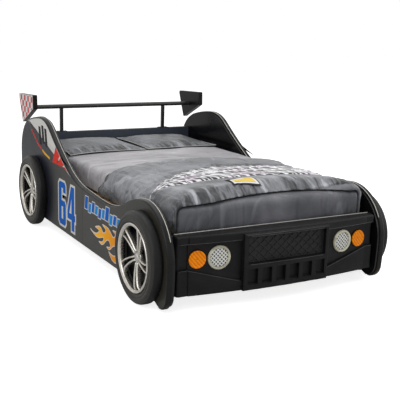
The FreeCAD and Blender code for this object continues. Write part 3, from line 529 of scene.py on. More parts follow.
@dataclass(frozen=True)
class SlatWood:
    """Planed softwood with long grain and small knots."""

    name: str
    pale: Colour
    grain: Colour
    run: tuple[float, float, float] = (1.5, 40.0, 40.0)

    def material(self) -> Finish:
        """Build the material; run is small along the grain."""
        make = Shader(self.name)
        rings = make.mottle(1.4, 6.0, 1.6, make.stretched(self.run))
        pores = make.mottle(5.0, 2.0, 0.0, make.stretched(tuple(c * 9 for c in self.run)))
        colour = make.mix(make.step(rings, 0.35, 0.7), self.pale, self.grain)
        knots = make.step(make.cells(3.2), 0.10, 0.04)
        colour = make.mix(make.times(knots, 0.7), colour, paint(112, 72, 40))
        rough = make.rough(rings, 0.2, 0.5)
        normal = make.relief(pores, 0.0002, make.relief(rings, 0.0003))
        return make.done(colour, rough, normal, Specular_IOR_Level=0.35)


@dataclass(frozen=True)
class Satin:
    """Woven satin cover: fine twill, soft sheen and small wrinkles."""

    name: str
    colour: Colour
    bright: Colour
    roughness: float = 0.44
    wrinkle: float = 0.0022
    creases: tuple[float, float, float] = (1.0, 1.0, 1.0)
    # How strongly creases are painted with shade and their ridges with highlights.
    depth: float = 0.55
    gather_from: float | None = None
    gather_reach: float = 0.10

    def cover(self, make: Shader) -> tuple[Socket, Socket, Socket]:
        """Lay out the plain cloth, with painted shade in its creases and painted highlights on their
        ridges.

        Args:
            make: The material under construction.

        Returns:
            Its colour, roughness and normal.
        """
        cloud = make.mottle(3.2, 4.0, 0.8)
        colour = make.mix(make.step(cloud, 0.3, 0.75), self.colour, self.bright)
        twill = make.ribs(260.0, "DIAGONAL", 0.2)
        cross = make.ribs(300.0, "Y", 0.2)
        thread = make.times(twill, cross)
        colour = make.mix(make.times(thread, 0.10), colour, shade(self.bright, 1.4))
        crease = make.mottle(10.0, 5.0, 1.1, make.stretched(self.creases))
        fine = make.mottle(34.0, 4.0, 1.4, make.stretched(self.creases))
        # Painted shade in the crease hollows and painted highlights on their ridges.
        sunk = make.times(make.step(crease, 0.47, 0.36), self.depth)
        colour = make.mix(sunk, colour, shade(self.colour, 0.30))
        shine = make.times(make.step(crease, 0.58, 0.72), self.depth * 0.8)
        colour = make.mix(shine, colour, shade(self.bright, 2.0))
        normal = make.relief(crease, self.wrinkle * 6)
        normal = make.relief(fine, self.wrinkle, normal)
        normal = make.relief(thread, 0.00012, normal)
        rough = make.rough(thread, 0.12, self.roughness)
        return colour, rough, normal

    def gather(self, make: Shader, colour: Socket, normal: Socket, away: Socket,
               reach: float, scale: float = 26.0) -> tuple[Socket, Socket]:
        """Add the narrow folds that run out from a seam across the bed, with painted shade in their
        valleys and painted highlights on their tops.

        Args:
            make: The material under construction.
            colour: The cloth's colour.
            normal: Its normal.
            away: Distance from the seam.
            reach: How far the longest folds run.
            scale: The noise's scale across the folds.

        Returns:
            The new colour and normal.
        """
        wave = make.mottle(scale, 3.0, 0.3, make.stretched((1.0, 0.16, 0.03), (0, 0, 0.12)))
        long = make.mottle(11.0, 2.0, 0.0, make.stretched((1.0, 0.1, 0.1)))
        room = make.times(make.step(long, 0.30, 0.70), reach * 1.5)
        room = make.plus(room, reach * 0.25)
        fade = make.minus(1.0, make.reckon("DIVIDE", away, room), True)
        fade = make.times(fade, make.step(away, -0.012, 0.0))
        valley = make.times(make.step(wave, 0.50, 0.40), make.step(fade, 0.0, 0.35))
        crest = make.times(make.step(wave, 0.56, 0.66), make.step(fade, 0.0, 0.5))
        # Painted shade in the fold valleys and painted highlights on the fold tops.
        colour = make.mix(make.times(valley, 0.85, True), colour, shade(self.colour, 0.12))
        colour = make.mix(make.times(crest, 0.60, True), colour, shade(self.bright, 2.2))
        raised = make.times(wave, fade)
        return colour, make.relief(raised, 0.016, normal)

    def material(self) -> Finish:
        """Build the material of the plain cloth, gathered along one seam if it has one."""
        make = Shader(self.name)
        colour, rough, normal = self.cover(make)
        if self.gather_from is not None:
            away = make.minus(make.along(), self.gather_from)
            colour, normal = self.gather(make, colour, normal, away, self.gather_reach, 34.0)
        return make.done(colour, rough, normal, Sheen_Weight=0.12, Sheen_Roughness=0.4,
                         Specular_IOR_Level=0.35)


@dataclass(frozen=True)
class BandedSatin(Satin):
    """Satin with a printed band of tyre-tread marks that bows across the bed."""

    ground: Colour = (0.86, 0.85, 0.88)
    ink: Colour = (0.008, 0.008, 0.010)
    flush: Colour = (0.72, 0.56, 0.70)
    middle: float = 0.04
    front: float = -0.662
    front_bow: float = 0.20
    rear: float = -0.345
    rear_bow: float = 0.90
    rear_skew: float = 0.30
    hem: float = -0.905
    hem_middle: float = 0.13
    hem_bow: float = 0.45
    fold: float = -0.072
    fold_bow: float = 0.55
    hang: float = 0.13

    def material(self) -> Finish:
        """Build the material: gathered cloth, the band, painted seam shadow along both its edges and a
        painted shadow along the rear fold.
        """
        make = Shader(self.name)
        colour, rough, normal = self.cover(make)
        aside = make.minus(make.across(), self.hem_middle)
        ahead = make.times(make.times(aside, aside), self.hem_bow)
        from_hem = make.plus(make.minus(make.along(), self.hem), ahead)
        colour, normal = self.gather(make, colour, normal, from_hem, 0.12)
        away = make.minus(make.across(), self.middle)
        bow = make.times(away, away)
        skew = make.times(make.times(away, make.reckon("ABSOLUTE", away)), self.rear_skew)
        front = make.minus(self.front, make.times(bow, self.front_bow))
        rear = make.minus(self.rear, make.times(bow, self.rear_bow))
        rear = make.plus(rear, skew)
        wide = make.minus(rear, front)
        share = make.reckon("DIVIDE", make.minus(make.along(), front), wide)
        inside = make.times(make.step(share, -0.005, 0.02), make.step(share, 1.005, 0.98))
        marks = self._marks(make, share)
        band = make.mix(make.step(make.mottle(6.0, 2.0), 0.54, 0.74), self.ground, self.flush)
        band = make.mix(marks, band, self.ink)
        colour = make.mix(inside, colour, band)
        # Painted shadow along both seams of the band.
        seam = make.reckon("MAXIMUM", self._seam(make, share, 0.0), self._seam(make, share, 1.0))
        colour = make.mix(make.times(seam, 0.55), colour, (0.02, 0.02, 0.022))
        aside = make.minus(make.across(), FOLD_MIDDLE)
        turned = make.times(make.times(aside, aside), self.fold_bow)
        hung = make.times(make.step(make.height(), 0.44, 0.35), self.hang)
        edge = make.plus(make.minus(self.fold, turned), hung)
        to_fold = make.minus(edge, make.along())
        # Painted shadow in a dark band along the duvet's rear fold.
        colour = make.mix(make.times(make.step(to_fold, 0.036, 0.026), 0.9), colour,
                          (0.012, 0.012, 0.013))
        return make.done(colour, rough, normal, Sheen_Weight=0.12, Sheen_Roughness=0.4,
                         Specular_IOR_Level=0.35)

    def _marks(self, make: Shader, share: Socket) -> Socket:
        """Lay broken tread blocks in rows that follow the band.

        Args:
            make: The material under construction.
            share: Place across the band, from 0 at its front to 1 at its rear.

        Returns:
            1 where there is ink.
        """
        rows = make.times(share, 4.0)
        row = make.reckon("FLOOR", rows)
        within = make.reckon("FRACT", rows)
        slant = make.times(make.minus(within, 0.5), 0.55)
        shift = make.times(make.reckon("SINE", make.times(row, 37.7)), 3.1)
        run = make.times(make.across(), 15.0)
        run = make.plus(make.plus(run, shift), slant)
        wobble = make.times(make.mottle(8.0, 2.0, 0.8), 1.8)
        run = make.plus(run, wobble)
        block = make.reckon("FRACT", run)
        bar = make.times(make.step(block, 0.04, 0.07), make.step(block, 0.78, 0.74))
        gap = make.times(make.step(within, 0.06, 0.12), make.step(within, 0.94, 0.88))
        slot = make.step(make.reckon("ABSOLUTE", make.minus(block, 0.36)), 0.05, 0.08)
        nick = make.step(make.mottle(16.0, 2.0, 0.6), 0.36, 0.40)
        bar = make.times(bar, gap)
        bar = make.times(bar, make.reckon("MAXIMUM", slot, make.step(within, 0.45, 0.5)))
        return make.times(bar, nick)

    def _seam(self, make: Shader, share: Socket, at: float) -> Socket:
        """Mark the painted shadow along the sewn line at one edge of the band.

        Args:
            make: The material under construction.
            share: Place across the band.
            at: Where the seam lies.

        Returns:
            1 on the seam, falling to 0 beside it.
        """
        return make.step(make.reckon("ABSOLUTE", make.minus(share, at)), 0.035, 0.008)


@dataclass(frozen=True)
class Vinyl:
    """Printed vinyl film: one ink, or a fade along the bed between two."""

    name: str
    ink: Colour
    second: Colour | None = None
    start: float = 0.0
    end: float = 1.0
    roughness: float = 0.5

    def material(self) -> Finish:
        """Build the material, with print mottle and a faint film ripple."""
        make = Shader(self.name)
        speck = make.mottle(240.0, 3.0)
        colour = make.mix(speck, self.ink, shade(self.ink, 0.86))
        if self.second is not None:
            colour = make.mix(make.step(make.along(), self.start, self.end), colour, self.second)
        rough = make.rough(make.mottle(20.0), 0.14, self.roughness)
        normal = make.relief(make.mottle(70.0, 2.0), 0.00015)
        return make.done(colour, rough, normal, Specular_IOR_Level=0.12)


@dataclass(frozen=True)
class CheckerVinyl:
    """Red and white squares printed on film."""

    name: str
    red: Colour
    white: Colour
    square: float = 0.036

    def material(self) -> Finish:
        """Build the material; the squares lie in the YZ plane."""
        make = Shader(self.name)
        place = make.nodes.new("ShaderNodeCombineXYZ")
        place.inputs[0].default_value = 0.5
        make.feed(place.inputs[1], make.reckon("DIVIDE", make.along(), self.square))
        make.feed(place.inputs[2], make.reckon("DIVIDE", make.height(), self.square))
        checker = make.nodes.new("ShaderNodeTexChecker")
        make.feed(checker.inputs["Vector"], place.outputs[0])
        make.feed(checker.inputs["Scale"], 1.0)
        speck = make.mottle(200.0, 3.0)
        make.feed(checker.inputs["Color1"], make.mix(speck, self.red, shade(self.red, 0.85)))
        make.feed(checker.inputs["Color2"], make.mix(speck, self.white, shade(self.white, 0.9)))
        rough = make.rough(make.mottle(20.0), 0.14, 0.3)
        normal = make.relief(make.mottle(70.0, 2.0), 0.00015)
        return make.done(checker.outputs[0], rough, normal, Specular_IOR_Level=0.4)


@dataclass(frozen=True)
class Cord:
    """Wrapped piping cord with a fine spiral."""

    name: str
    colour: Colour
    roughness: float = 0.4

    def material(self) -> Finish:
        """Build the material."""
        make = Shader(self.name)
        spiral = make.ribs(160.0, "DIAGONAL", 0.3)
        colour = make.mix(spiral, shade(self.colour, 0.72), self.colour)
        rough = make.rough(spiral, 0.1, self.roughness)
        return make.done(colour, rough, make.relief(spiral, 0.0003), Sheen_Weight=0.1)


# ---------------------------------------------------------------- mesh building


def mesh_of(name: str, points: Sequence[Sequence[float]], faces: Sequence[Sequence[int]],
            finish: Finish, smooth: bool = True) -> bpy.types.Mesh:
    """Make a mesh whose faces look outward.

    Args:
        name: The mesh's name.
        points: Its vertices, in the frame.
        faces: Its faces, as vertex numbers.
        finish: Its material.
        smooth: Shade it smooth.

    Returns:
        The mesh.
    """
    mesh = bpy.data.meshes.new(name)
    mesh.from_pydata(points, [], [tuple(face) for face in faces])
    turned = bmesh.new()
    turned.from_mesh(mesh)
    bmesh.ops.recalc_face_normals(turned, faces=turned.faces)
    turned.to_mesh(mesh)
    turned.free()
    mesh.polygons.foreach_set("use_smooth", [smooth] * len(mesh.polygons))
    mesh.materials.append(finish)
    return mesh


def piece_from(name: str, points: Sequence[Sequence[float]], faces: Sequence[Sequence[int]],
               finish: Finish, body: Body = Body.BED, smooth: bool = True) -> Piece:
    """Make a mesh piece and let it ride on a body.

    Args:
        name: The piece's name.
        points: Its vertices, with heights from the RIDE level.
        faces: Its faces, as vertex numbers.
        finish: Its material.
        body: The body that it rides on.
        smooth: Shade it smooth.

    Returns:
        The piece.
    """
    raised = [(point[0], point[1], point[2] + RIDE) for point in points]
    piece = bpy.data.objects.new(name, mesh_of(name, raised, faces, finish, smooth))
    bpy.context.scene.collection.objects.link(piece)
    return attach(piece, body.value)


def ring_faces(rings: int, around: int, closed_run: bool = False) -> list[tuple[int, ...]]:
    """Faces that join rings of vertices in a row.

    Args:
        rings: How many rings there are.
        around: Vertices in each ring.
        closed_run: Join the last ring to the first.

    Returns:
        The faces.
    """
    faces = []
    for ring in range(rings if closed_run else rings - 1):
        after = (ring + 1) % rings
        for spot in range(around):
            beside = (spot + 1) % around
            faces.append((ring * around + spot, ring * around + beside,
                          after * around + beside, after * around + spot))
    return faces


def grid_faces(rows: int, columns: int) -> list[tuple[int, ...]]:
    """Faces of a flat grid of vertices that is laid out row by row.

    Args:
        rows: Spans along the grid.
        columns: Spans across it.

    Returns:
        The faces.
    """
    across = columns + 1
    return [(row * across + column, row * across + column + 1,
             (row + 1) * across + column + 1, (row + 1) * across + column)
            for row in range(rows) for column in range(columns)]


def tube(name: str, path: Sequence[Vector], radius: float, finish: Finish,
         body: Body = Body.BED, closed: bool = False) -> Piece:
    """Sweep a round section along a path.

    Args:
        name: The piece's name.
        path: Points of its centreline.
        radius: Its radius.
        finish: Its material.
        body: The body that it rides on.
        closed: Join its ends.

    Returns:
        The piece.
    """
    points, count = [], len(path)
    across = Vector((1.0, 0.0, 0.0))
    for place, centre in enumerate(path):
        ahead = path[(place + 1) % count] if closed or place < count - 1 else path[place]
        behind = path[place - 1] if closed or place > 0 else path[0]
        heading = (ahead - behind).normalized()
        if place == 0 and abs(heading.dot(across)) > 0.9:
            across = Vector((0.0, 0.0, 1.0))
        across = (across - heading * across.dot(heading)).normalized()
        up = heading.cross(across)
        for side in range(TUBE_SIDES):
            turn = 2 * math.pi * side / TUBE_SIDES
            points.append(centre + (across * math.cos(turn) + up * math.sin(turn)) * radius)
    faces = ring_faces(count, TUBE_SIDES, closed)
    if not closed:
        faces.append(tuple(range(TUBE_SIDES)))
        faces.append(tuple(range((count - 1) * TUBE_SIDES, count * TUBE_SIDES)))
    return piece_from(name, points, faces, finish, body)


def smooth_line(corners: Sequence[Sequence[float]], steps: int) -> list[Vector]:
    """Draw a Catmull-Rom line through points.

    Args:
        corners: The points.
        steps: Spans between each two.

    Returns:
        The points of the line.
    """
    last = len(corners) - 1
    spots = [Vector(corner) for corner in corners]
    line = []
    for place in range(last):
        a, b, c, d = (spots[max(0, min(last, place + shift))] for shift in (-1, 0, 1, 2))
        for step in range(steps):
            t = step / steps
            line.append(0.5 * ((2 * b) + (c - a) * t + (2 * a - 5 * b + 4 * c - d) * t * t
                               + (3 * b - a - 3 * c + d) * t ** 3))
    line.append(spots[-1])
    return line


def grown(outline: Sequence[Spot], margin: float) -> list[Spot]:
    """Move each side of a flat outline outward, or inward for a negative margin.

    Args:
        outline: Its corners in order.
        margin: How far the sides move.

    Returns:
        The new corners.
    """
    count = len(outline)
    area = sum(outline[i - 1][0] * outline[i][1] - outline[i][0] * outline[i - 1][1]
               for i in range(count))
    sense = 1.0 if area > 0 else -1.0
    moved = []
    for place in range(count):
        spot = Vector(outline[place])
        back = (spot - Vector(outline[place - 1])).normalized()
        on = (Vector(outline[(place + 1) % count]) - spot).normalized()
        first, second = Vector((back.y, -back.x)), Vector((on.y, -on.x))
        middle = first + second
        if middle.length < 1e-6:
            middle = first
        middle.normalize()
        reach = margin * sense / max(0.45, middle.dot(first))
        moved.append(tuple(spot + middle * reach))
    return moved


def film(name: str, outline: Sequence[Spot], side: Side, plane: float, layer: int,
         finish: Finish) -> Piece:
    """Lay a thin film on an upright face that looks along X.

    Args:
        name: The piece's name.
        outline: Its corners as places along Y and Z.
        side: The side of the bed.
        plane: How far the face stands from the middle.
        layer: Films beneath it, plus one.
        finish: Its material.

    Returns:
        The piece.
    """
    stand = side.value * (plane + FILM_STEP * layer)
    base = side.value * (plane + FILM_FOOT)
    count = len(outline)
    points = [(stand, y, z) for y, z in outline] + [(base, y, z) for y, z in outline]
    flat = [[Vector((y, z, 0.0)) for y, z in outline]]
    faces = [tuple(face) for face in geometry.tessellate_polygon(flat)]
    faces += [(i, (i + 1) % count, count + (i + 1) % count, count + i) for i in range(count)]
    return piece_from(name, points, faces, finish, Body.BED, smooth=False)


def plate_outline(node: str, plane: float) -> list[Spot]:
    """Follow the longest sharp outline of a CAD plate where it meets a plane across the bed.

    Args:
        node: The CAD node's name.
        plane: The plane's X.

    Returns:
        The outline's places along Y and Z, in order.
    """
    mesh = bmesh.new()
    mesh.from_mesh(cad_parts[node].data)
    bmesh.ops.remove_doubles(mesh, verts=mesh.verts, dist=WELD)
    rims = {}
    for edge in mesh.edges:
        if any(abs(end.co.x - plane) > ON_PLANE for end in edge.verts) or len(edge.link_faces) != 2:
            continue
        flat = [abs(face.normal.x) > 0.9995 for face in edge.link_faces]
        if flat[0] != flat[1]:
            first, second = edge.verts
            rims.setdefault(first, []).append(second)
            rims.setdefault(second, []).append(first)
    longest: list[Spot] = []
    while rims:
        start = next(iter(rims))
        walk = [start]
        while True:
            onward = [end for end in rims.get(walk[-1], []) if end in rims and end not in walk[-2:]]
            if len(walk) > 2:
                rims.pop(walk[-2], None)
            if not onward or onward[0] == start:
                break
            walk.append(onward[0])
        for end in walk:
            rims.pop(end, None)
        if len(walk) > len(longest):
            longest = [(end.co.y, end.co.z - RIDE) for end in walk]
    mesh.free()
    return longest


def section_between(outline: Sequence[Spot], start: Spot, end: Spot) -> list[Spot]:
    """Cut an outline between its corners nearest two spots, by the way that runs higher.

    Args:
        outline: A closed outline.
        start: Where the section starts.
        end: Where it ends.

    Returns:
        The section's corners.
    """
    def nearest(spot: Spot) -> int:
        """Number of the corner nearest a spot."""
        return min(range(len(outline)), key=lambda i: math.dist(outline[i], spot))

    first, last, count = nearest(start), nearest(end), len(outline)
    ways = []
    for heading in (1, -1):
        way, place = [outline[first]], first
        while place != last:
            place = (place + heading) % count
            way.append(outline[place])
        ways.append(way)
    return max(ways, key=lambda way: sum(spot[1] for spot in way) / len(way))


def round_edges(node: str, width: float, angle: float = 35.0) -> None:
    """Give a CAD node's sharp edges the small radius that catches light, by modifiers alone.

    Args:
        node: The CAD node's name.
        width: The radius's width.
        angle: Edges sharper than this are rounded, in degrees.
    """
    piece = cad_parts[node]
    weld = piece.modifiers.new("weld", "WELD")
    weld.merge_threshold = WELD
    flatten = piece.modifiers.new("flatten", "DECIMATE")
    flatten.decimate_type = "DISSOLVE"
    flatten.angle_limit = math.radians(0.6)
    bevel = piece.modifiers.new("round", "BEVEL")
    bevel.width = width
    bevel.segments = 2
    bevel.limit_method = "ANGLE"
    bevel.angle_limit = math.radians(angle)
    bevel.use_clamp_overlap = True
    bevel.harden_normals = True


def dress(finish: Finish, *nodes: str) -> None:
    """Give CAD nodes a finish.

    Args:
        finish: The material.
        *nodes: The nodes' names.
    """
    for node in nodes:
        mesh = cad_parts[node].data
        mesh.materials.clear()
        mesh.materials.append(finish)


# ---------------------------------------------------------------- side panels


@dataclass
class SidePanels:
    """Both side panels: lacquered sections, inner boards, pale cords that paint the highlight along their
    top edges, and printed films.
    """

    plane: float = 0.614
    joint: float = 0.588
    # The pale cord along the top of each panel's joint is a painted highlight on the edge.
    piping_radius: float = 0.0018
    piping_low: float = 0.300
    piping_nose: float = -0.9
    digit_border: float = 0.0135
    dash_border: float = 0.0046
    flame_border: float = 0.0042
    digit_top: float = 0.326
    digit_low: float = 0.074
    digit_spots: tuple[float, float] = (0.264, 0.118)
    digit_width: float = 0.118
    # The side panels' lacquer carries a painted shade that darkens their rear parts.
    lacquer: Lacquer = Lacquer("satin_panel_lacquer", paint(44, 43, 38), paint(10, 10, 11), gloss=0.2,
                               tint=paint(26, 29, 38), tint_from=0.30, tint_to=0.52)
    gloss_board: Lacquer = Lacquer("gloss_board_lacquer", paint(11, 11, 13), paint(18, 18, 19),
                                   roughness=0.2, gloss=0.25)
    # Colour of the pale cord that paints the edge highlight.
    piping: Cord = Cord("pale_edge_highlight", paint(214, 210, 200))
    pale: Vinyl = Vinyl("pale_film", paint(214, 213, 208))
    blue: Vinyl = Vinyl("blue_film", paint(0, 92, 184))
    sky: Vinyl = Vinyl("light_blue_film", paint(14, 136, 208))
    grey: Vinyl = Vinyl("grey_sweep_film", paint(222, 221, 216))
    red: Vinyl = Vinyl("red_film", paint(218, 52, 38))
    yellow: Vinyl = Vinyl("yellow_film", paint(244, 182, 22))
    dark: Vinyl = Vinyl("dark_film", paint(22, 24, 27))
    flame: Vinyl = Vinyl("flame_film", paint(238, 148, 8), paint(252, 184, 44), -0.56, -0.20)

    def build(self) -> None:
        """Make the films of both sides and the pale cords that paint the highlight along their top edges.
        """
        self.films = {key: getattr(self, key).material()
                      for key in ("pale", "blue", "sky", "grey", "red", "yellow", "dark", "flame")}
        cord = self.piping.material()
        for side in Side:
            self._piping(side, cord)
            self._number(side)
            self._dashes(side)
            self._flames(side)
            self._livery(side)

    def dress(self) -> None:
        """Lacquer the panels and the boards behind them."""
        panel, board = self.lacquer.material(), self.gloss_board.material()
        for side in Side:
            dress(panel, f"{side.word}_front_side_panel", f"{side.word}_rear_side_panel")
            dress(board, f"{side.word}_inner_side_board")

    def _film(self, name: str, outline: Sequence[Spot], side: Side, layer: int, ink: str) -> None:
        """Lay one film on the panel's outer face."""
        film(f"{side.word}_{name}", outline, side, self.plane, layer, self.films[ink])

    def _piping(self, side: Side, finish: Finish) -> None:
        """Lay a pale cord along the top of the joint between the outer panel and the inner board: a
        painted highlight on that edge.
        """
        for part, start, end in (("front", (-1.08, 0.12), (-0.0595, 0.40)),
                                 ("rear", (-0.0565, 0.40), (1.062, 0.12))):
            outline = plate_outline(f"{side.word}_{part}_side_panel", side.value * self.joint)
            top = section_between(outline, start, end)
            top = [spot for spot in top if spot[1] > self.piping_low or spot[0] > self.piping_nose]
            line = [Vector((side.value * (self.joint - 0.0012), y, z)) for y, z in top]
            tube(f"{side.word}_{part}_piping", line, self.piping_radius, finish)

    def _on_face(self, corners: Sequence[Spot], place: int, side: Side) -> list[Spot]:
        """Turn a digit's own corners into places on the panel.

        Args:
            corners: Corners on a grid 0 to 1 wide and 0 to 1 high.
            place: 0 for the digit read first.
            side: The side of the bed.

        Returns:
            The places along Y and Z.
        """
        middle = self.digit_spots[place if side is Side.LEFT else 1 - place]
        tall = self.digit_top - self.digit_low
        return [(middle + side.value * ((across - 0.5) * self.digit_width), self.digit_low + up * tall)
                for across, up in corners]

    def _number(self, side: Side) -> None:
        """Lay a plain two-digit race number."""
        six = [(0.14, 0.0), (0.86, 0.0), (1.0, 0.07), (1.0, 0.50), (0.86, 0.57), (0.40, 0.57),
               (0.40, 0.86), (0.62, 0.86), (0.62, 0.76), (1.0, 0.76), (1.0, 0.93), (0.86, 1.0),
               (0.14, 1.0), (0.0, 0.93), (0.0, 0.07)]
        four = [(0.56, 0.0), (0.94, 0.0), (0.94, 0.24), (1.06, 0.24), (1.06, 0.38), (0.94, 0.38),
                (0.94, 1.0), (0.50, 1.0), (0.0, 0.42), (0.0, 0.24), (0.56, 0.24)]
        holes = ([(0.40, 0.14), (0.62, 0.14), (0.62, 0.43), (0.40, 0.43)],
                 [(0.27, 0.38), (0.56, 0.38), (0.56, 0.72)])
        for place, stroke in enumerate((six, four)):
            spots = self._on_face(stroke, place, side)
            edge = grown(spots, self.digit_border)
            self._film(f"digit_{place + 1}_edge_1", edge, side, 1, "pale")
            self._film(f"digit_{place + 1}_1", spots, side, 2, "blue")
        for place, hole in enumerate(holes):
            self._film(f"digit_{place + 1}_eye", self._on_face(hole, place, side), side, 3, "pale")

    def _dashes(self, side: Side) -> None:
        """Lay a row of slanted dashes behind the front wheel."""
        heights = (0.068, 0.050, 0.056, 0.046, 0.052, 0.048, 0.070, 0.052, 0.048, 0.042)
        run, lean, gap = -0.094, 0.012, 0.0125
        for number, tall in enumerate(heights):
            wide = 0.034 if number not in (0, 6) else 0.042
            low = 0.252 - 0.010 * (number % 3 == 1)
            spots = [(run, low), (run - wide, low), (run - wide - lean, low + tall),
                     (run - lean, low + tall)]
            self._film(f"dash_edge_{number + 1}", grown(spots, self.dash_border), side, 1, "pale")
            self._film(f"dash_{number + 1}", spots, side, 2, "sky" if number % 2 else "blue")
            run -= wide + gap

    def _flames(self, side: Side) -> None:
        """Lay a licking flame behind the front wheel, with a pale outline."""
        corners = [(-.170, .160), (-.217, .149), (-.269, .153), (-.303, .173), (-.291, .183),
                   (-.252, .185), (-.314, .199), (-.355, .177), (-.385, .187), (-.391, .205),
                   (-.350, .219), (-.417, .216), (-.449, .203), (-.486, .185), (-.512, .197),
                   (-.513, .213), (-.486, .220), (-.522, .221), (-.540, .209), (-.543, .168),
                   (-.544, .102), (-.524, .066), (-.472, .069), (-.434, .097), (-.461, .091),
                   (-.503, .092), (-.533, .111), (-.538, .133), (-.517, .149), (-.487, .143),
                   (-.440, .113), (-.407, .115), (-.445, .123), (-.452, .138), (-.439, .154),
                   (-.407, .154), (-.347, .115), (-.303, .118), (-.342, .124), (-.364, .143),
                   (-.353, .155), (-.274, .137)]
        sharp = [place for place, corner in enumerate(corners)
                 if corner in {(-.170, .160), (-.252, .185), (-.350, .219), (-.486, .220),
                               (-.434, .097), (-.407, .115), (-.303, .118)}]
        line: list[Spot] = []
        for place, start in enumerate(sharp):
            end = sharp[(place + 1) % len(sharp)]
            stop = end if end > start else end + len(corners)
            arc = [corners[i % len(corners)] for i in range(start, stop + 1)]
            line += [tuple(point) for point in smooth_line(arc, 5)[:-1]]
        self._film("flame_edge", grown(line, self.flame_border), side, 1, "pale")
        self._film("flame", line, side, 2, "flame")

    def _livery(self, side: Side) -> None:
        """Lay the rear wing's livery: grey sweep, red wedges, a yellow line and dark louvres."""
        outline = plate_outline(f"{side.word}_rear_side_panel", side.value * self.plane)
        inner = grown(outline, -0.0015)
        top = section_between(inner, (0.900, 0.640), (0.110, 0.430))
        low = smooth_line([(0.125, 0.424), (0.263, 0.409), (0.421, 0.411), (0.556, 0.431),
                           (0.618, 0.448), (0.697, 0.474), (0.761, 0.509), (0.834, 0.550),
                           (0.893, 0.610)], 5)
        sweep = list(top) + [tuple(spot) for spot in reversed(low)]
        self._film("sweep", sweep, side, 1, "grey")

        def edge_height(run: float) -> float:
            """Height of the panel's top at a place along the bed."""
            return float(np.interp(run, *zip(*sorted(top))))

        low_start, lean, inset = 0.413, 0.060, 0.003
        for number, (start, wide) in enumerate(((0.372, 0.070), (0.290, 0.062), (0.214, 0.048))):
            spots = [(start + lean, low_start), (start + lean - wide, low_start - 0.002),
                     (start - wide, edge_height(start - wide) - inset),
                     (start - wide / 2, edge_height(start - wide / 2) - inset),
                     (start, edge_height(start) - inset)]
            self._film(f"wedge_{number + 1}", spots, side, 2, "red")
        pin = [tuple(spot) for spot in low]
        for name, start, end, ink in (("pinstripe", 0.46, 0.62, "yellow"), ("stripe", 0.63, 0.84, "red")):
            upper = [(run, high + 0.015) for run, high in pin if start < run < end]
            lower = [(run, high + 0.002) for run, high in pin if start < run < end]
            self._film(name, upper + lower[::-1], side, 2, ink)
        for number in range(3):
            run = 0.668 - 0.056 * number
            high = 0.536 + 0.012 * (number == 1)
            spots = [(run, high - 0.050), (run - 0.040, high - 0.050), (run - 0.018, high + 0.058),
                     (run + 0.022, high + 0.058)]
            self._film(f"louvre_{number + 1}", spots, side, 2, "dark")


# ---------------------------------------------------------------- wheels


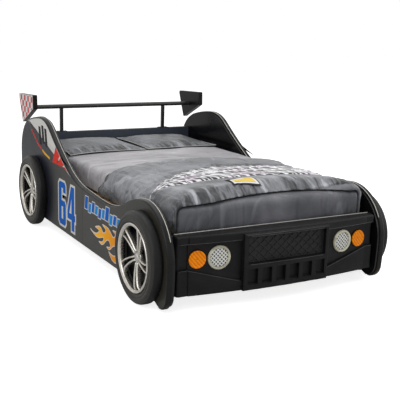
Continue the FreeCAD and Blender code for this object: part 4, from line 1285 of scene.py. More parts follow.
@dataclass
class Wheels:
    """Four moulded wheels: tyre, bright twin-spoke rim and hub cap."""

    inside: float = 0.614
    outside: float = 0.672
    radius: float = 0.216
    rim_radius: float = 0.162
    centres: tuple[float, float] = (-0.840, 0.743)
    height: float = 0.186
    hub_face: float = 0.648
    spokes: int = 5
    lean: float = 60.0
    rubber: TyreRubber = TyreRubber("tyre_rubber", paint(38, 37, 34), paint(9, 9, 11))
    silver: Metal = Metal("rim_silver", paint(206, 202, 194), paint(120, 116, 110), 0.26, 0.85,
                          (20.0, 20.0, 20.0))
    dish: Moulding = Moulding("wheel_dish", paint(9, 9, 10), 0.45, 0.3)
    cap: Metal = Metal("hub_cap_silver", paint(190, 188, 182), paint(96, 94, 90), 0.3, 0.8)

    def build(self) -> None:
        """Make the pieces of every wheel."""
        self.finishes = {key: getattr(self, key).material()
                         for key in ("rubber", "silver", "dish", "cap")}
        for side in Side:
            for end, centre in zip(("front", "rear"), self.centres):
                self._wheel(side, end, centre)

    def dress(self) -> None:
        """Leave the wheels as they are: every piece took its finish when it was made."""

    def _place(self, side: Side, centre: float, reach: float, turn: float, out: float) -> Vector:
        """Place of a spot on a wheel.

        Args:
            side: The side of the bed.
            centre: The wheel's place along the bed.
            reach: Distance from its axis.
            turn: Angle from straight ahead, upwards, in radians.
            out: Distance from the middle of the bed.

        Returns:
            The spot in the frame.
        """
        return Vector((side.value * out, centre - reach * math.cos(turn),
                       self.height + reach * math.sin(turn)))

    def _lathe(self, name: str, side: Side, centre: float, profile: Sequence[Spot],
               finish: Finish, around: int = 96) -> Piece:
        """Turn a profile about the wheel's axis.

        Args:
            name: The piece's name.
            side: The side of the bed.
            centre: The wheel's place along the bed.
            profile: Radius and distance from the middle of the bed, in order.
            finish: The material.
            around: Steps round the axis.

        Returns:
            The piece.
        """
        points = [self._place(side, centre, reach, 2 * math.pi * step / around, out)
                  for reach, out in profile for step in range(around)]
        return piece_from(name, points, ring_faces(len(profile), around, True), finish)

    def _wheel(self, side: Side, end: str, centre: float) -> None:
        """Make one wheel.

        Args:
            side: The side of the bed.
            end: "front" or "rear".
            centre: Its place along the bed.
        """
        name = f"{side.word}_{end}"
        inside, outside, radius, rim = self.inside + 0.0005, self.outside, self.radius, self.rim_radius
        tyre = [(0.030, inside), (radius - 0.006, inside), (radius - 0.001, inside + 0.008),
                (radius - 0.0002, inside + 0.014), (radius - 0.0002, outside - 0.024),
                (radius - 0.001, outside - 0.017), (radius - 0.0036, outside - 0.0105),
                 (radius - 0.0070, outside - 0.0068), (radius - 0.0078, outside - 0.0072),
                 (radius - 0.0086, outside - 0.0062), (radius - 0.013, outside - 0.0030),
                 (radius - 0.020, outside - 0.0008), (radius - 0.029, outside - 0.0002),
                 (radius - 0.0300, outside - 0.0014), (radius - 0.0312, outside - 0.0014),
                 (radius - 0.0322, outside - 0.0002), (radius - 0.038, outside - 0.0012),
                 (rim + 0.0030, outside - 0.0045), (rim + 0.0005, outside - 0.0095),
                 (rim - 0.0005, outside - 0.016), (rim - 0.004, inside + 0.012), (0.030, inside + 0.008)]
        body = self._lathe(f"{name}_tyre_body", side, centre, tyre, self.finishes["rubber"])
        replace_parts(body, f"{name}_tyre")
        base = inside + 0.012
        dish = [(0.020, base), (rim - 0.005, base), (rim - 0.005, base + 0.0015),
                (0.020, base + 0.0025)]
        self._lathe(f"{name}_dish", side, centre, dish, self.finishes["dish"])
        ring = [(rim + 0.0004, outside - 0.012), (rim + 0.0004, outside - 0.0025),
                (rim - 0.0012, outside + 0.0008), (rim - 0.0040, outside + 0.0016),
                (rim - 0.0072, outside + 0.0002), (rim - 0.0086, outside - 0.0035),
                (rim - 0.0098, outside - 0.0038), (rim - 0.0112, outside - 0.0020),
                (rim - 0.0130, outside - 0.0026), (rim - 0.0145, outside - 0.0080),
                (rim - 0.0152, outside - 0.020), (rim - 0.010, outside - 0.030)]
        rings = self._lathe(f"{name}_rim_ring", side, centre, ring, self.finishes["silver"])
        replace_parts(rings, f"{name}_rim")
        self._spokes(name, side, centre)
        self._hub(name, side, centre)

    def _spokes(self, name: str, side: Side, centre: float) -> None:
        """Sweep the twin ridges of every spoke from the hub to a hook on the rim.

        Args:
            name: Start of the piece's name.
            side: The side of the bed.
            centre: The wheel's place along the bed.
        """
        points: list[Vector] = []
        faces: list[tuple[int, ...]] = []
        hand = -side.value
        runs = 15
        for spoke in range(self.spokes):
            middle = math.radians(self.lean + 360 / self.spokes * spoke)
            for ridge in (-1, 1):
                first = len(points)
                for step in range(runs):
                    share = step / (runs - 1)
                    reach = 0.024 + (self.rim_radius - 0.0345) * share
                    gap = 0.0085 + 0.0125 * share ** 1.4
                    sweep = 0.16 * share ** 1.5 - 0.03
                    hook = 0.10 * max(0.0, share - 0.80) ** 1.3 * 5.5 if ridge > 0 else 0.0
                    turn = middle + hand * (sweep + hook) + ridge * hand * gap / reach
                    wide = 0.0062 - 0.0012 * share
                    rise = self.hub_face + 0.003 + (self.outside - 0.007 - self.hub_face) * share ** 0.75
                    rise -= 0.048 * max(0.0, share - 0.88)
                    over = Vector((0, math.sin(turn), math.cos(turn)))
                    spine = self._place(side, centre, reach, turn, 0.0)
                    section = [(-wide, -0.026), (-wide, -0.004), (-wide * 0.62, -0.0006),
                               (-wide * 0.1, 0.0), (wide * 0.5, -0.0014), (wide * 0.9, -0.006),
                               (wide, -0.026)]
                    for across, out in section:
                        points.append(spine + over * across * ridge
                                      + Vector((side.value * (rise + out), 0, 0)))
                around = len(section)
                faces += [tuple(first + spot for spot in face) for face in ring_faces(runs, around)]
                faces.append(tuple(first + spot for spot in range(around)))
                faces.append(tuple(first + (runs - 1) * around + spot for spot in range(around)))
        spokes = piece_from(f"{name}_spokes", points, faces, self.finishes["silver"])
        smooth = spokes.modifiers.new("round", "SUBSURF")
        smooth.levels = smooth.render_levels = 1

    def _hub(self, name: str, side: Side, centre: float) -> None:
        """Make the hub: a stepped boss, a domed cap and five bolt heads.

        Args:
            name: Start of the piece's name.
            side: The side of the bed.
            centre: The wheel's place along the bed.
        """
        face = self.hub_face - 0.002
        boss = [(0.002, face - 0.022), (0.034, face - 0.022), (0.034, face - 0.003), (0.031, face),
                (0.022, face + 0.0012), (0.020, face - 0.001), (0.0185, face - 0.001),
                (0.0175, face + 0.0035), (0.014, face + 0.0055), (0.008, face + 0.0068),
                (0.002, face + 0.0072)]
        hub = self._lathe(f"{name}_hub", side, centre, boss, self.finishes["cap"], 60)
        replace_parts(hub, f"{name}_hub_cap")
        for bolt in range(5):
            turn = math.radians(self.lean + 36 + 72 * bolt)
            spot = self._place(side, centre, 0.0268, turn, face - 0.001)
            rings, around = [(0.0036, 0.0), (0.0036, 0.0022), (0.0026, 0.0034), (0.0006, 0.0036)], 12
            points = []
            for reach, out in rings:
                for step in range(around):
                    angle = 2 * math.pi * step / around
                    points.append(spot + Vector((side.value * out, reach * math.cos(angle),
                                                 reach * math.sin(angle))))
            piece_from(f"{name}_bolt_{bolt + 1}", points, ring_faces(len(rings), around, True),
                       self.finishes["dish"])


# ---------------------------------------------------------------- bumper


@dataclass
class Bumper:
    """Moulded bumper: grained shell, lattice, lamps, and a pale cord along its top that paints a
    highlight.
    """

    half: float = 0.548
    back: float = -1.0135
    top: float = 0.3268
    shell: Moulding = Moulding("bumper_moulding", paint(15, 15, 16), 0.46, 0.16, 700.0, 0.00025)
    lattice: Moulding = Moulding("grille_moulding", paint(17, 17, 18), 0.40, 0.26, 700.0, 0.0002)
    bezel: Moulding = Moulding("lamp_bezel", paint(176, 172, 152), 0.38, 0.45, 500.0, 0.0001)
    glass: LampGlass = LampGlass("round_lamp_glass", paint(214, 214, 208), paint(38, 42, 48))
    amber: AmberLens = AmberLens("amber_lens", paint(250, 150, 0), paint(196, 92, 0))
    # The ridges are coloured lighter than the shell: raised ridges with painted highlights along the
    # bumper's edges.
    ridge: Moulding = Moulding("bumper_ridge_highlight", paint(48, 48, 49), 0.4, 0.3, 700.0, 0.0002)
    # A pale cord along the bumper's top edge, standing for the highlight there: a painted highlight.
    top_highlight: Cord = Cord("top_highlight_cord", paint(188, 186, 180))
    top_highlight_radius: float = 0.0022
    ridge_radius: float = 0.0017
    ridge_spans: int = 24
    before: float = -1.6

    def build(self) -> None:
        """Make the lenses, the amber lamps, the pale cord that paints the highlight along the top, and the
        ridges.
        """
        glass, amber, top_highlight = self.glass.material(), self.amber.material(), self.top_highlight.material()
        for side in Side:
            self._round_lens(side, glass)
            self._amber_lamp(side, amber)
        # Painted highlight: a pale cord along the bumper's top rear edge.
        line = [Vector((self.half * (step / 20 - 1), self.back, self.top)) for step in range(41)]
        tube("bumper_top_highlight", line, self.top_highlight_radius, top_highlight)
        self._ridges()

    def _ridges(self) -> None:
        """Lay the raised ridges that outline the bumper's ledge, block, grille and skirt, in a lighter
        moulding that paints highlights along them.
        """
        finish = self.ridge.material()
        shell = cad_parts["bumper_shell"]
        bpy.context.view_layer.update()
        routes = {"ledge_left": [(-0.550, 0.2895), (-0.240, 0.2895)],
                  "ledge_right": [(0.240, 0.2895), (0.550, 0.2895)],
                  "block_top": [(-0.228, 0.3115), (0.228, 0.3115)],
                  "grille_low": [(-0.205, 0.1725), (0.205, 0.1725)],
                  "grille_top": [(-0.205, 0.3045), (0.205, 0.3045)],
                  "skirt_left": [(-0.545, 0.168), (-0.500, 0.168), (-0.240, 0.094)],
                  "skirt_right": [(0.240, 0.094), (0.500, 0.168), (0.545, 0.168)]}
        for name, corners in routes.items():
            line = []
            for start, end in zip(corners, corners[1:]):
                for step in range(self.ridge_spans + 1):
                    x, z = (start[i] + (end[i] - start[i]) * step / self.ridge_spans for i in range(2))
                    eye = Vector((x, self.before, z + RIDE))
                    hit, place, _, _ = shell.ray_cast(eye, Vector((0, 1, 0)))
                    if hit and place.y < self.back - 0.02:
                        line.append(Vector((x, place.y + 0.0004, z)))
            tube(f"bumper_{name}_ridge", line, self.ridge_radius, finish)

    def dress(self) -> None:
        """Give the CAD mouldings their finish and soften their edges."""
        dress(self.shell.material(), "bumper_shell")
        dress(self.lattice.material(), "grille_lattice")
        bezel = self.bezel.material()
        for side in Side:
            dress(bezel, f"{side.word}_round_lamp_bezel")
        round_edges("bumper_shell", 0.0028)
        round_edges("grille_lattice", 0.0011)

    def _frame_of(self, node: str) -> tuple[Vector, Vector, Vector, Vector, float, float]:
        """Find a turned lamp piece's axis from its own vertices.

        Args:
            node: The CAD node's name.

        Returns:
            Its centre, its outward direction, two directions across it, its radius and the
            distance of its front from its centre.
        """
        spots = np.array([vertex.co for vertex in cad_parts[node].data.vertices], float)
        spots = np.unique(np.round(spots, 6), axis=0) - (0, 0, RIDE)
        centre = (spots.min(0) + spots.max(0)) / 2
        _, _, axes = np.linalg.svd(spots - spots.mean(0), full_matrices=False)
        outward = Vector(axes[2]).normalized()
        if outward.y > 0:
            outward = -outward
        over = Vector((0, 0, 1)).cross(outward).normalized()
        up = outward.cross(over).normalized()
        away = (spots - centre) @ np.array(outward)
        flat = (spots - centre) - np.outer(away, np.array(outward))
        return (Vector(centre), outward, over, up, float(np.linalg.norm(flat, axis=1).max()),
                float(away.max()))

    def _disc(self, name: str, node: str, profile: Sequence[Spot],
              finish: Finish) -> Piece:
        """Turn a lens about the axis of the node that it stands for.

        Args:
            name: The piece's name.
            node: The CAD node's name.
            profile: Share of the node's radius, and distance from its front.
            finish: The material.

        Returns:
            The piece.
        """
        centre, outward, over, up, radius, front = self._frame_of(node)
        around, points = 64, []
        for share, out in profile:
            for step in range(around):
                turn = 2 * math.pi * step / around
                points.append(centre + outward * (front + out)
                              + (over * math.cos(turn) + up * math.sin(turn)) * radius * share)
        piece = piece_from(name, points, ring_faces(len(profile), around, True), finish)
        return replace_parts(piece, node)

    def _round_lens(self, side: Side, finish: Finish) -> None:
        """Make the slightly domed lens of a round lamp."""
        profile = [(0.01, -0.004), (1.0, -0.004), (1.0, -0.0012), (0.94, -0.0006), (0.80, -0.0008),
                   (0.60, -0.0004), (0.40, -0.0002), (0.20, 0.0), (0.01, 0.0)]
        lens = self._disc(f"{side.word}_round_lens", f"{side.word}_round_lamp_lens", profile, finish)

    def _amber_lamp(self, side: Side, finish: Finish) -> None:
        """Make an amber lamp: a raised ring round a sunk lens."""
        profile = [(0.01, -0.008), (1.0, -0.008), (1.0, -0.0025), (0.97, -0.0006), (0.92, 0.0),
                   (0.86, -0.0004), (0.80, -0.0020), (0.775, -0.0042), (0.74, -0.0046),
                   (0.60, -0.0040), (0.35, -0.0034), (0.01, -0.0032)]
        lens = self._disc(f"{side.word}_amber_lens", f"{side.word}_amber_lamp", profile, finish)


# ---------------------------------------------------------------- spoiler


@dataclass
class Spoiler:
    """Spoiler: painted bar and posts between end plates with a checkered film."""

    plane: float = 0.606
    bar: Metal = Metal("spoiler_bar_paint", paint(58, 58, 57), paint(34, 34, 34), 0.3, 0.55,
                       (4.0, 60.0, 60.0))
    post: Metal = Metal("spoiler_post_paint", paint(26, 26, 27), paint(18, 18, 18), 0.34, 0.3)
    plate: Lacquer = Lacquer("spoiler_plate_lacquer", paint(14, 14, 15), paint(12, 12, 13), 0.3, 0.15)
    border: Vinyl = Vinyl("plate_border_film", paint(226, 226, 222))
    checker: CheckerVinyl = CheckerVinyl("checker_film", paint(206, 52, 44), paint(222, 232, 232))

    def build(self) -> None:
        """Lay the checkered film and its border on the outer faces of the end plates."""
        border, checker = self.border.material(), self.checker.material()
        for side in Side:
            outline = plate_outline(f"{side.word}_spoiler_plate", side.value * self.plane)
            film(f"{side.word}_plate_border", grown(outline, -0.002), side, self.plane, 1, border)
            film(f"{side.word}_plate_checker", grown(outline, -0.0052), side, self.plane, 2, checker)

    def dress(self) -> None:
        """Paint the bar, the posts and the plates."""
        dress(self.bar.material(), "spoiler_bar")
        dress(self.post.material(), "left_spoiler_post", "right_spoiler_post")
        dress(self.plate.material(), "left_spoiler_plate", "right_spoiler_plate")
        for side in Side:
            round_edges(f"{side.word}_spoiler_plate", 0.0016, 50.0)
            round_edges(f"{side.word}_spoiler_post", 0.002)


# ---------------------------------------------------------------- frame boards and base


@dataclass
class Framework:
    """Cross boards, slatted base and hardware."""

    slats: int = 13
    headboard: Lacquer = Lacquer("headboard_lacquer", paint(52, 57, 66), paint(20, 21, 24), 0.36, 0.3,
                                 face_axis=1)
    slat: SlatWood = SlatWood("slat_wood", paint(214, 182, 138), paint(176, 132, 84))
    rail: SlatWood = SlatWood("rail_wood", paint(206, 172, 128), paint(166, 124, 80), (40.0, 1.5, 40.0))
    steel: Metal = Metal("hardware_steel", paint(172, 172, 170), paint(110, 108, 104), 0.32)

    def dress(self) -> None:
        """Finish the boards, the wood and the steel."""
        dress(self.headboard.material(), "headboard", "front_cross_board")
        dress(self.slat.material(), *(f"slat_{number:02d}" for number in range(1, self.slats + 1)))
        dress(self.rail.material(), "left_side_rail", "right_side_rail")
        dress(self.steel.material(), "corner_brackets", "bracket_screws", "bumper_screws",
              "rail_screws", "slat_screws", "spoiler_screws", "wheel_bolts")
        for node in ("headboard", "front_cross_board", "left_side_rail", "right_side_rail"):
            round_edges(node, 0.0016)
        for number in range(1, self.slats + 1):
            round_edges(f"slat_{number:02d}", 0.002)
        round_edges("corner_brackets", 0.0006)


# ---------------------------------------------------------------- soft goods


def ridge(run: float, seed: float, spacing: float) -> float:
    """Height of uneven gathers at a place along a seam.

    Args:
        run: Place along the seam.
        seed: Sets the gathers apart from other seams'.
        spacing: Usual distance between gathers.

    Returns:
        The height, from about -1 to 1.
    """
    wander = noise.noise(Vector((run * 6.0, seed, 0.0))) * 2.4
    wave = math.sin(2 * math.pi * run / spacing + wander * 3.0)
    fine = math.sin(4.6 * math.pi * run / spacing + seed + wander * 5.0) * 0.35
    strength = 0.55 + 0.75 * noise.noise(Vector((run * 9.0, seed + 7.0, 2.0)))
    return (wave + fine) * max(0.15, strength)


def fill_out(piece: Piece, held: Iterable[int], pressure: float, slack: float, cap: float) -> None:
    """Let a cover fill out as cloth under pressure, and keep the result in its mesh.

    Args:
        piece: The cover.
        held: Vertices that its seams or the surface beneath hold still.
        pressure: Pressure inside.
        slack: Share of spare cloth, which wrinkles.
        cap: How far a point may move, in metres.
    """
    scene = bpy.context.scene
    rest = np.array([vertex.co for vertex in piece.data.vertices], float)
    group = piece.vertex_groups.new(name="held")
    group.add(list(held), 1.0, "REPLACE")
    cover = piece.modifiers.new("cover", "CLOTH")
    cover.settings.quality = 4
    cover.settings.mass = 0.25
    cover.settings.tension_stiffness = 10.0
    cover.settings.compression_stiffness = 10.0
    cover.settings.shear_stiffness = 3.0
    cover.settings.bending_stiffness = 0.3
    cover.settings.vertex_group_mass = "held"
    cover.settings.use_pressure = True
    cover.settings.uniform_pressure_force = pressure
    cover.settings.shrink_min = -slack
    cover.settings.effector_weights.gravity = 0.0
    cover.collision_settings.use_collision = False
    cover.point_cache.frame_start = 1
    cover.point_cache.frame_end = 20
    for step in range(1, 21):
        scene.frame_set(step)
    filled = piece.evaluated_get(bpy.context.evaluated_depsgraph_get())
    moved = np.array([vertex.co for vertex in filled.data.vertices], float) - rest
    far = np.linalg.norm(moved, axis=1, keepdims=True)
    moved *= np.minimum(1.0, cap / np.maximum(far, 1e-9))
    piece.modifiers.remove(cover)
    scene.frame_set(1)
    piece.data.vertices.foreach_set("co", (rest + moved).astype(np.float32).ravel())
    piece.data.update()


def reshape(piece: Piece, move: Callable[[Vector, Vector], Vector]) -> None:
    """Move every vertex of a piece.

    Args:
        piece: The piece.
        move: Gives a vertex's new place from its place and its normal.
    """
    normals = [vertex.normal.copy() for vertex in piece.data.vertices]
    ride = Vector((0, 0, RIDE))
    for vertex, normal in zip(piece.data.vertices, normals):
        vertex.co = move(vertex.co - ride, normal) + ride
    piece.data.update()


def subdivide(piece: Piece, levels: int = 1) -> None:
    """Round a piece with a subdivision surface."""
    smooth = piece.modifiers.new("smooth", "SUBSURF")
    smooth.levels = smooth.render_levels = levels


@dataclass
class Mattress:
    """Foam mattress: a crowned block in a tight satin cover, creased at its front corners."""

    half: float = 0.516
    front: float = -0.985
    rear: float = 0.946
    low: float = 0.3008
    edge: float = 0.4360
    crown: float = 0.0115
    corner: float = 0.030
    cover: Satin = Satin("mattress_satin", paint(70, 72, 76), paint(112, 112, 118), 0.42, 0.0010,
                         (1.0, 1.0, 0.35), 0.30)

    def build(self) -> None:
        """Make the mattress."""
        counts = (88, 96, 12)
        spots: dict[tuple[int, int, int], int] = {}
        points: list[Vector] = []

        def corner_of(i: int, j: int, k: int) -> int:
            """Number of the vertex at a lattice corner."""
            if (i, j, k) not in spots:
                spots[i, j, k] = len(points)
                points.append(self._rounded(i / counts[0], j / counts[1], k / counts[2]))
            return spots[i, j, k]

        faces = []
        for axis in range(3):
            first, second = (other for other in range(3) if other != axis)
            for end in (0, counts[axis]):
                for a in range(counts[first]):
                    for b in range(counts[second]):
                        quad = []
                        for da, db in ((0, 0), (1, 0), (1, 1), (0, 1)):
                            place = [0, 0, 0]
                            place[axis], place[first], place[second] = end, a + da, b + db
                            quad.append(corner_of(*place))
                        faces.append(quad)
        pad = piece_from("mattress_pad", points, faces, self.cover.material(), Body.MATTRESS)
        reshape(pad, self._creased)
        subdivide(pad)
        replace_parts(pad, "mattress")

    def _rounded(self, across: float, along: float, up: float) -> Vector:
        """Place of a lattice corner on the rounded block.

        Args:
            across: Share of the width.
            along: Share of the length.
            up: Share of the height.

        Returns:
            The place.
        """
        low = Vector((-self.half, self.front, self.low))
        high = Vector((self.half, self.rear, self.edge))
        eased = [0.5 - 0.5 * math.cos(math.pi * share) if axis == 2 else
                 share - 0.035 * math.sin(2 * math.pi * share)
                 for axis, share in enumerate((across, along, up))]
        spot = Vector([low[i] + (high[i] - low[i]) * eased[i] for i in range(3)])
        inner = Vector([min(max(spot[i], low[i] + self.corner), high[i] - self.corner)
                        for i in range(3)])
        away = spot - inner
        if away.length > 1e-9:
            spot = inner + away.normalized() * self.corner
        share_x = 1 - (spot.x / self.half) ** 2
        share_y = 1 - ((spot.y - (self.front + self.rear) / 2) / ((self.rear - self.front) / 2)) ** 8
        top = max(0.0, (spot.z - self.low) / (self.edge - self.low))
        spot.z += self.crown * max(0.0, share_x) * max(0.0, share_y) * top ** 2
        return spot

    def _creased(self, spot: Vector, normal: Vector) -> Vector:
        """Pull creases into the front corners of the cover.

        Args:
            spot: A vertex.
            normal: Its normal.

        Returns:
            Its new place.
        """
        depth = 0.0
        front = max(0.0, 1 - (spot.y - self.front) / 0.16)
        if front > 0 and normal.z > -0.3:
            for across, lean, wide, deep in ((-0.47, 0.55, 0.007, 0.0045), (-0.42, 0.75, 0.006, 0.0035),
                                             (-0.35, 0.9, 0.008, 0.003), (0.33, -0.12, 0.007, 0.004),
                                             (0.37, 0.05, 0.006, 0.006), (0.41, -0.08, 0.006, 0.005),
                                             (0.445, 0.12, 0.005, 0.006), (0.48, 0.0, 0.006, 0.005)):
                line = across + (spot.z - 0.36) * lean + 0.006 * math.sin(spot.z * 60 + across * 40)
                depth += deep * bell(spot.x, line, wide)
            depth *= front * clamped((spot.z - 0.305) / 0.03)
        sway = 0.0012 * noise.noise(Vector((spot.x * 4, spot.y * 4, spot.z * 9)))
        return spot - normal * (depth + sway)


@dataclass
class Drape:
    """A cover's way over the mattress: flat over its top, round its edge and down its sides."""

    half: float
    radius: float
    level: float
    crown: float
    drop: float

    @property
    def reach(self) -> float:
        """Length of the way from the middle of the bed to one hem."""
        return self.half - self.radius + math.pi / 2 * self.radius + self.drop

    def at(self, run: float) -> tuple[Vector, Vector]:
        """Give a place on the way.

        Args:
            run: Distance from the middle of the bed, measured along the cloth.

        Returns:
            The place across and up, and the outward direction there.
        """
        sign, run = (1.0 if run >= 0 else -1.0), abs(run)
        flat, turn = self.half - self.radius, math.pi / 2 * self.radius
        share = min(1.0, run / self.half)
        base = self.level + self.crown * (1 - share * share)
        if run <= flat:
            return Vector((sign * run, base)), Vector((0.0, 1.0))
        edge = self.level + self.crown * (1 - (flat / self.half) ** 2)
        if run <= flat + turn:
            angle = (run - flat) / self.radius
            spot = Vector((sign * (flat + self.radius * math.sin(angle)),
                           edge - self.radius * (1 - math.cos(angle))))
            return spot, Vector((sign * math.sin(angle), math.cos(angle)))
        spot = Vector((sign * self.half, edge - self.radius - (run - flat - turn)))
        return spot, Vector((sign, 0.0))


@dataclass
class Duvet:
    """Puffy satin duvet with a gathered front hem, a bowed rear fold, a printed band and a label."""

    front: float = -0.905
    rear: float = -0.072
    reach_ahead: float = 0.078
    bow_left: float = 0.35
    bow_right: float = 0.8
    rear_bow: float = 0.55
    side_room: float = 0.5635
    columns: int = 168
    rows: int = 112
    way: Drape = field(default_factory=lambda: Drape(0.5218, 0.034, 0.4384, 0.0120, 0.0935))
    cover: BandedSatin = BandedSatin("duvet_satin", paint(84, 86, 90), paint(140, 142, 147), 0.36,
                                     0.0020, (1.0, 0.6, 1.0), 0.50)
    label: Vinyl = Vinyl("label_cloth", paint(236, 234, 228), roughness=0.55)
    patch: Vinyl = Vinyl("label_print", paint(244, 214, 104), paint(226, 184, 64), -0.86, -0.79, 0.5)
    backing: Vinyl = Vinyl("label_border", paint(44, 44, 46), roughness=0.55)

    def build(self) -> None:
        """Make the duvet and its label."""
        points, faces = self._layer(True)
        cover = piece_from("duvet_cover", points, faces, self.cover.material(), Body.DUVET)
        across = self.columns + 1
        held = [row * across + column for row in range(self.rows + 1) for column in range(across)
                if row in (0, self.rows) or column in (0, self.columns)]
        held += self._seam_vertices()
        fill_out(cover, held, pressure=4.0, slack=0.06, cap=0.009)
        reshape(cover, self._gathered)
        self._close(cover)
        subdivide(cover)
        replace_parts(cover, "duvet")
        self._label(cover)

    def _edges(self, across: float) -> tuple[float, float]:
        """Front and rear hem's places along the bed, at a place across it."""
        aside = across - self.cover.hem_middle
        ahead = (self.bow_right if aside > 0 else self.bow_left) * aside * aside
        behind = self.rear_bow * (across - FOLD_MIDDLE) ** 2
        return self.front - min(self.reach_ahead, ahead), self.rear - behind

    def _thick(self, run: float, share: float) -> float:
        """Stuffing's thickness at a place.

        Args:
            run: Distance from the middle, along the cloth.
            share: Share of the way from the front hem to the rear one.

        Returns:
            The thickness.
        """
        side = clamped((self.way.reach - abs(run)) / 0.05) ** 0.5
        flat = self.way.half - self.way.radius
        top = clamped((flat + 0.02 - abs(run)) / 0.10)
        top = top * top * (3 - 2 * top)
        hem = min(1.0, share / 0.055) ** 0.5 if share < 0.055 else 1.0
        fold = min(1.0, max(0.0, 1 - share) / 0.045) ** 0.5
        front_roll, rear_roll = bell(share, 0.10, 0.11), bell(share, 0.90, 0.10)
        valley = 0.45 * bell(share, 0.30, 0.016) + 0.35 * bell(share, 0.67, 0.020)
        puff = 0.009 + 0.013 * front_roll + 0.002 * rear_roll + 0.003 * math.sin(share * 9.0)
        puff *= 1 - valley
        return 0.0030 + (0.0150 * side + (puff * top)) * hem * fold

    def _layer(self, outer: bool) -> tuple[list[Vector], list[tuple[int, ...]]]:
        """Lay out one layer of the duvet as a grid.

        Args:
            outer: The layer that shows, or the one that lies on the mattress.

        Returns:
            Its points and faces.
        """
        points = []
        for row in range(self.rows + 1):
            share = row / self.rows
            for column in range(self.columns + 1):
                run = self.way.reach * (2 * column / self.columns - 1)
                sway = 0.006 * noise.noise(Vector((share * 7, run * 2, 3.0)))
                hang = max(0.0, abs(run) - self.way.half) / (self.way.reach - self.way.half)
                spot, out = self.way.at(run * (1 + sway * hang))
                front, rear = self._edges(spot.x)
                rear += self.cover.hang * clamped((0.44 - spot.y) / 0.09)
                lift = self._thick(run, share) if outer else 0.0
                if abs(out.x) > 0.99:
                    lift = min(lift, self.side_room - self.way.half)
                spot = spot + out * lift
                points.append(Vector((spot.x, front + (rear - front) * share, spot.y)))
        return points, grid_faces(self.rows, self.columns)

    def _seam_vertices(self) -> list[int]:
        """Vertices on the two seams of the band, which the stuffing can't lift."""
        across = self.columns + 1
        found = []
        for row in range(1, self.rows):
            for column in range(1, self.columns):
                run = self.way.reach * (2 * column / self.columns - 1)
                front, rear = self._edges(self.way.at(run)[0].x)
                along = front + (rear - front) * row / self.rows
                if min(abs(along - edge) for edge in self._band(run)) < 0.0045:
                    found.append(row * across + column)
        return found

    def _band(self, across: float) -> tuple[float, float]:
        """Places of the band's two seams along the bed, at a place across it."""
        away, cover = across - self.cover.middle, self.cover
        return (cover.front - cover.front_bow * away * away,
                cover.rear - cover.rear_bow * away * away + cover.rear_skew * away * abs(away))

    def _gathered(self, spot: Vector, normal: Vector) -> Vector:
        """Add gathers along the hems and puckers along the seams, clear of the boards.

        Args:
            spot: A vertex.
            normal: Its normal.

        Returns:
            Its new place.
        """
        front, rear = self._edges(spot.x)
        from_front, from_rear = max(0.0, spot.y - front), max(0.0, rear - spot.y)
        raise_by = 0.0075 * ridge(spot.x, 1.0, 0.052) * bell(from_front, 0.03, 0.045)
        raise_by += 0.0035 * ridge(spot.x, 5.0, 0.085) * math.exp(-from_rear / 0.05)
        for place, edge in enumerate(self._band(spot.x)):
            near = abs(spot.y - edge)
            raise_by += 0.0022 * ridge(spot.x, 11.0 + place, 0.045) * bell(near, 0.014, 0.02)
        side = clamped((abs(spot.x) - 0.40) / 0.08)
        seed = 21.0 + math.copysign(3, spot.x)
        raise_by += 0.0050 * side * ridge(spot.y + 0.4 * abs(spot.x), seed, 0.070)
        raise_by += 0.0040 * noise.noise(Vector((spot.x * 4.2, spot.y * 6.0, 5.0)))
        spot = spot + normal * raise_by
        base, _ = self.way.at(math.copysign(min(abs(spot.x), self.way.half), spot.x))
        if abs(spot.x) > self.way.half - 0.002:
            spot.x = math.copysign(min(abs(spot.x), self.side_room + 0.004), spot.x)
            spot.x = math.copysign(max(abs(spot.x), self.way.half + 0.0015), spot.x)
        elif abs(spot.x) <= self.way.half - self.way.radius:
            spot.z = max(spot.z, base.y + 0.0020)
        return spot

    def _close(self, cover: Piece) -> None:
        """Join the layer that lies on the mattress to the one that shows.

        Args:
            cover: The layer that shows; it becomes the whole duvet.
        """
        under, _ = self._layer(False)
        under = [point + Vector((0, 0, RIDE)) for point in under]
        top = [vertex.co.copy() for vertex in cover.data.vertices]
        count, across = len(top), self.columns + 1
        faces = [tuple(face.vertices) for face in cover.data.polygons]
        faces += [tuple(count + spot for spot in reversed(face)) for face in list(faces)]
        rim = list(range(self.columns)) + [row * across + self.columns for row in range(self.rows)]
        rim += [self.rows * across + column for column in range(self.columns, 0, -1)]
        rim += [row * across for row in range(self.rows, 0, -1)]
        for place, spot in enumerate(rim):
            beside = rim[(place + 1) % len(rim)]
            faces.append((spot, beside, count + beside, count + spot))
        cover.data = mesh_of("duvet_cover_closed", top + under, faces, cover.data.materials[0])

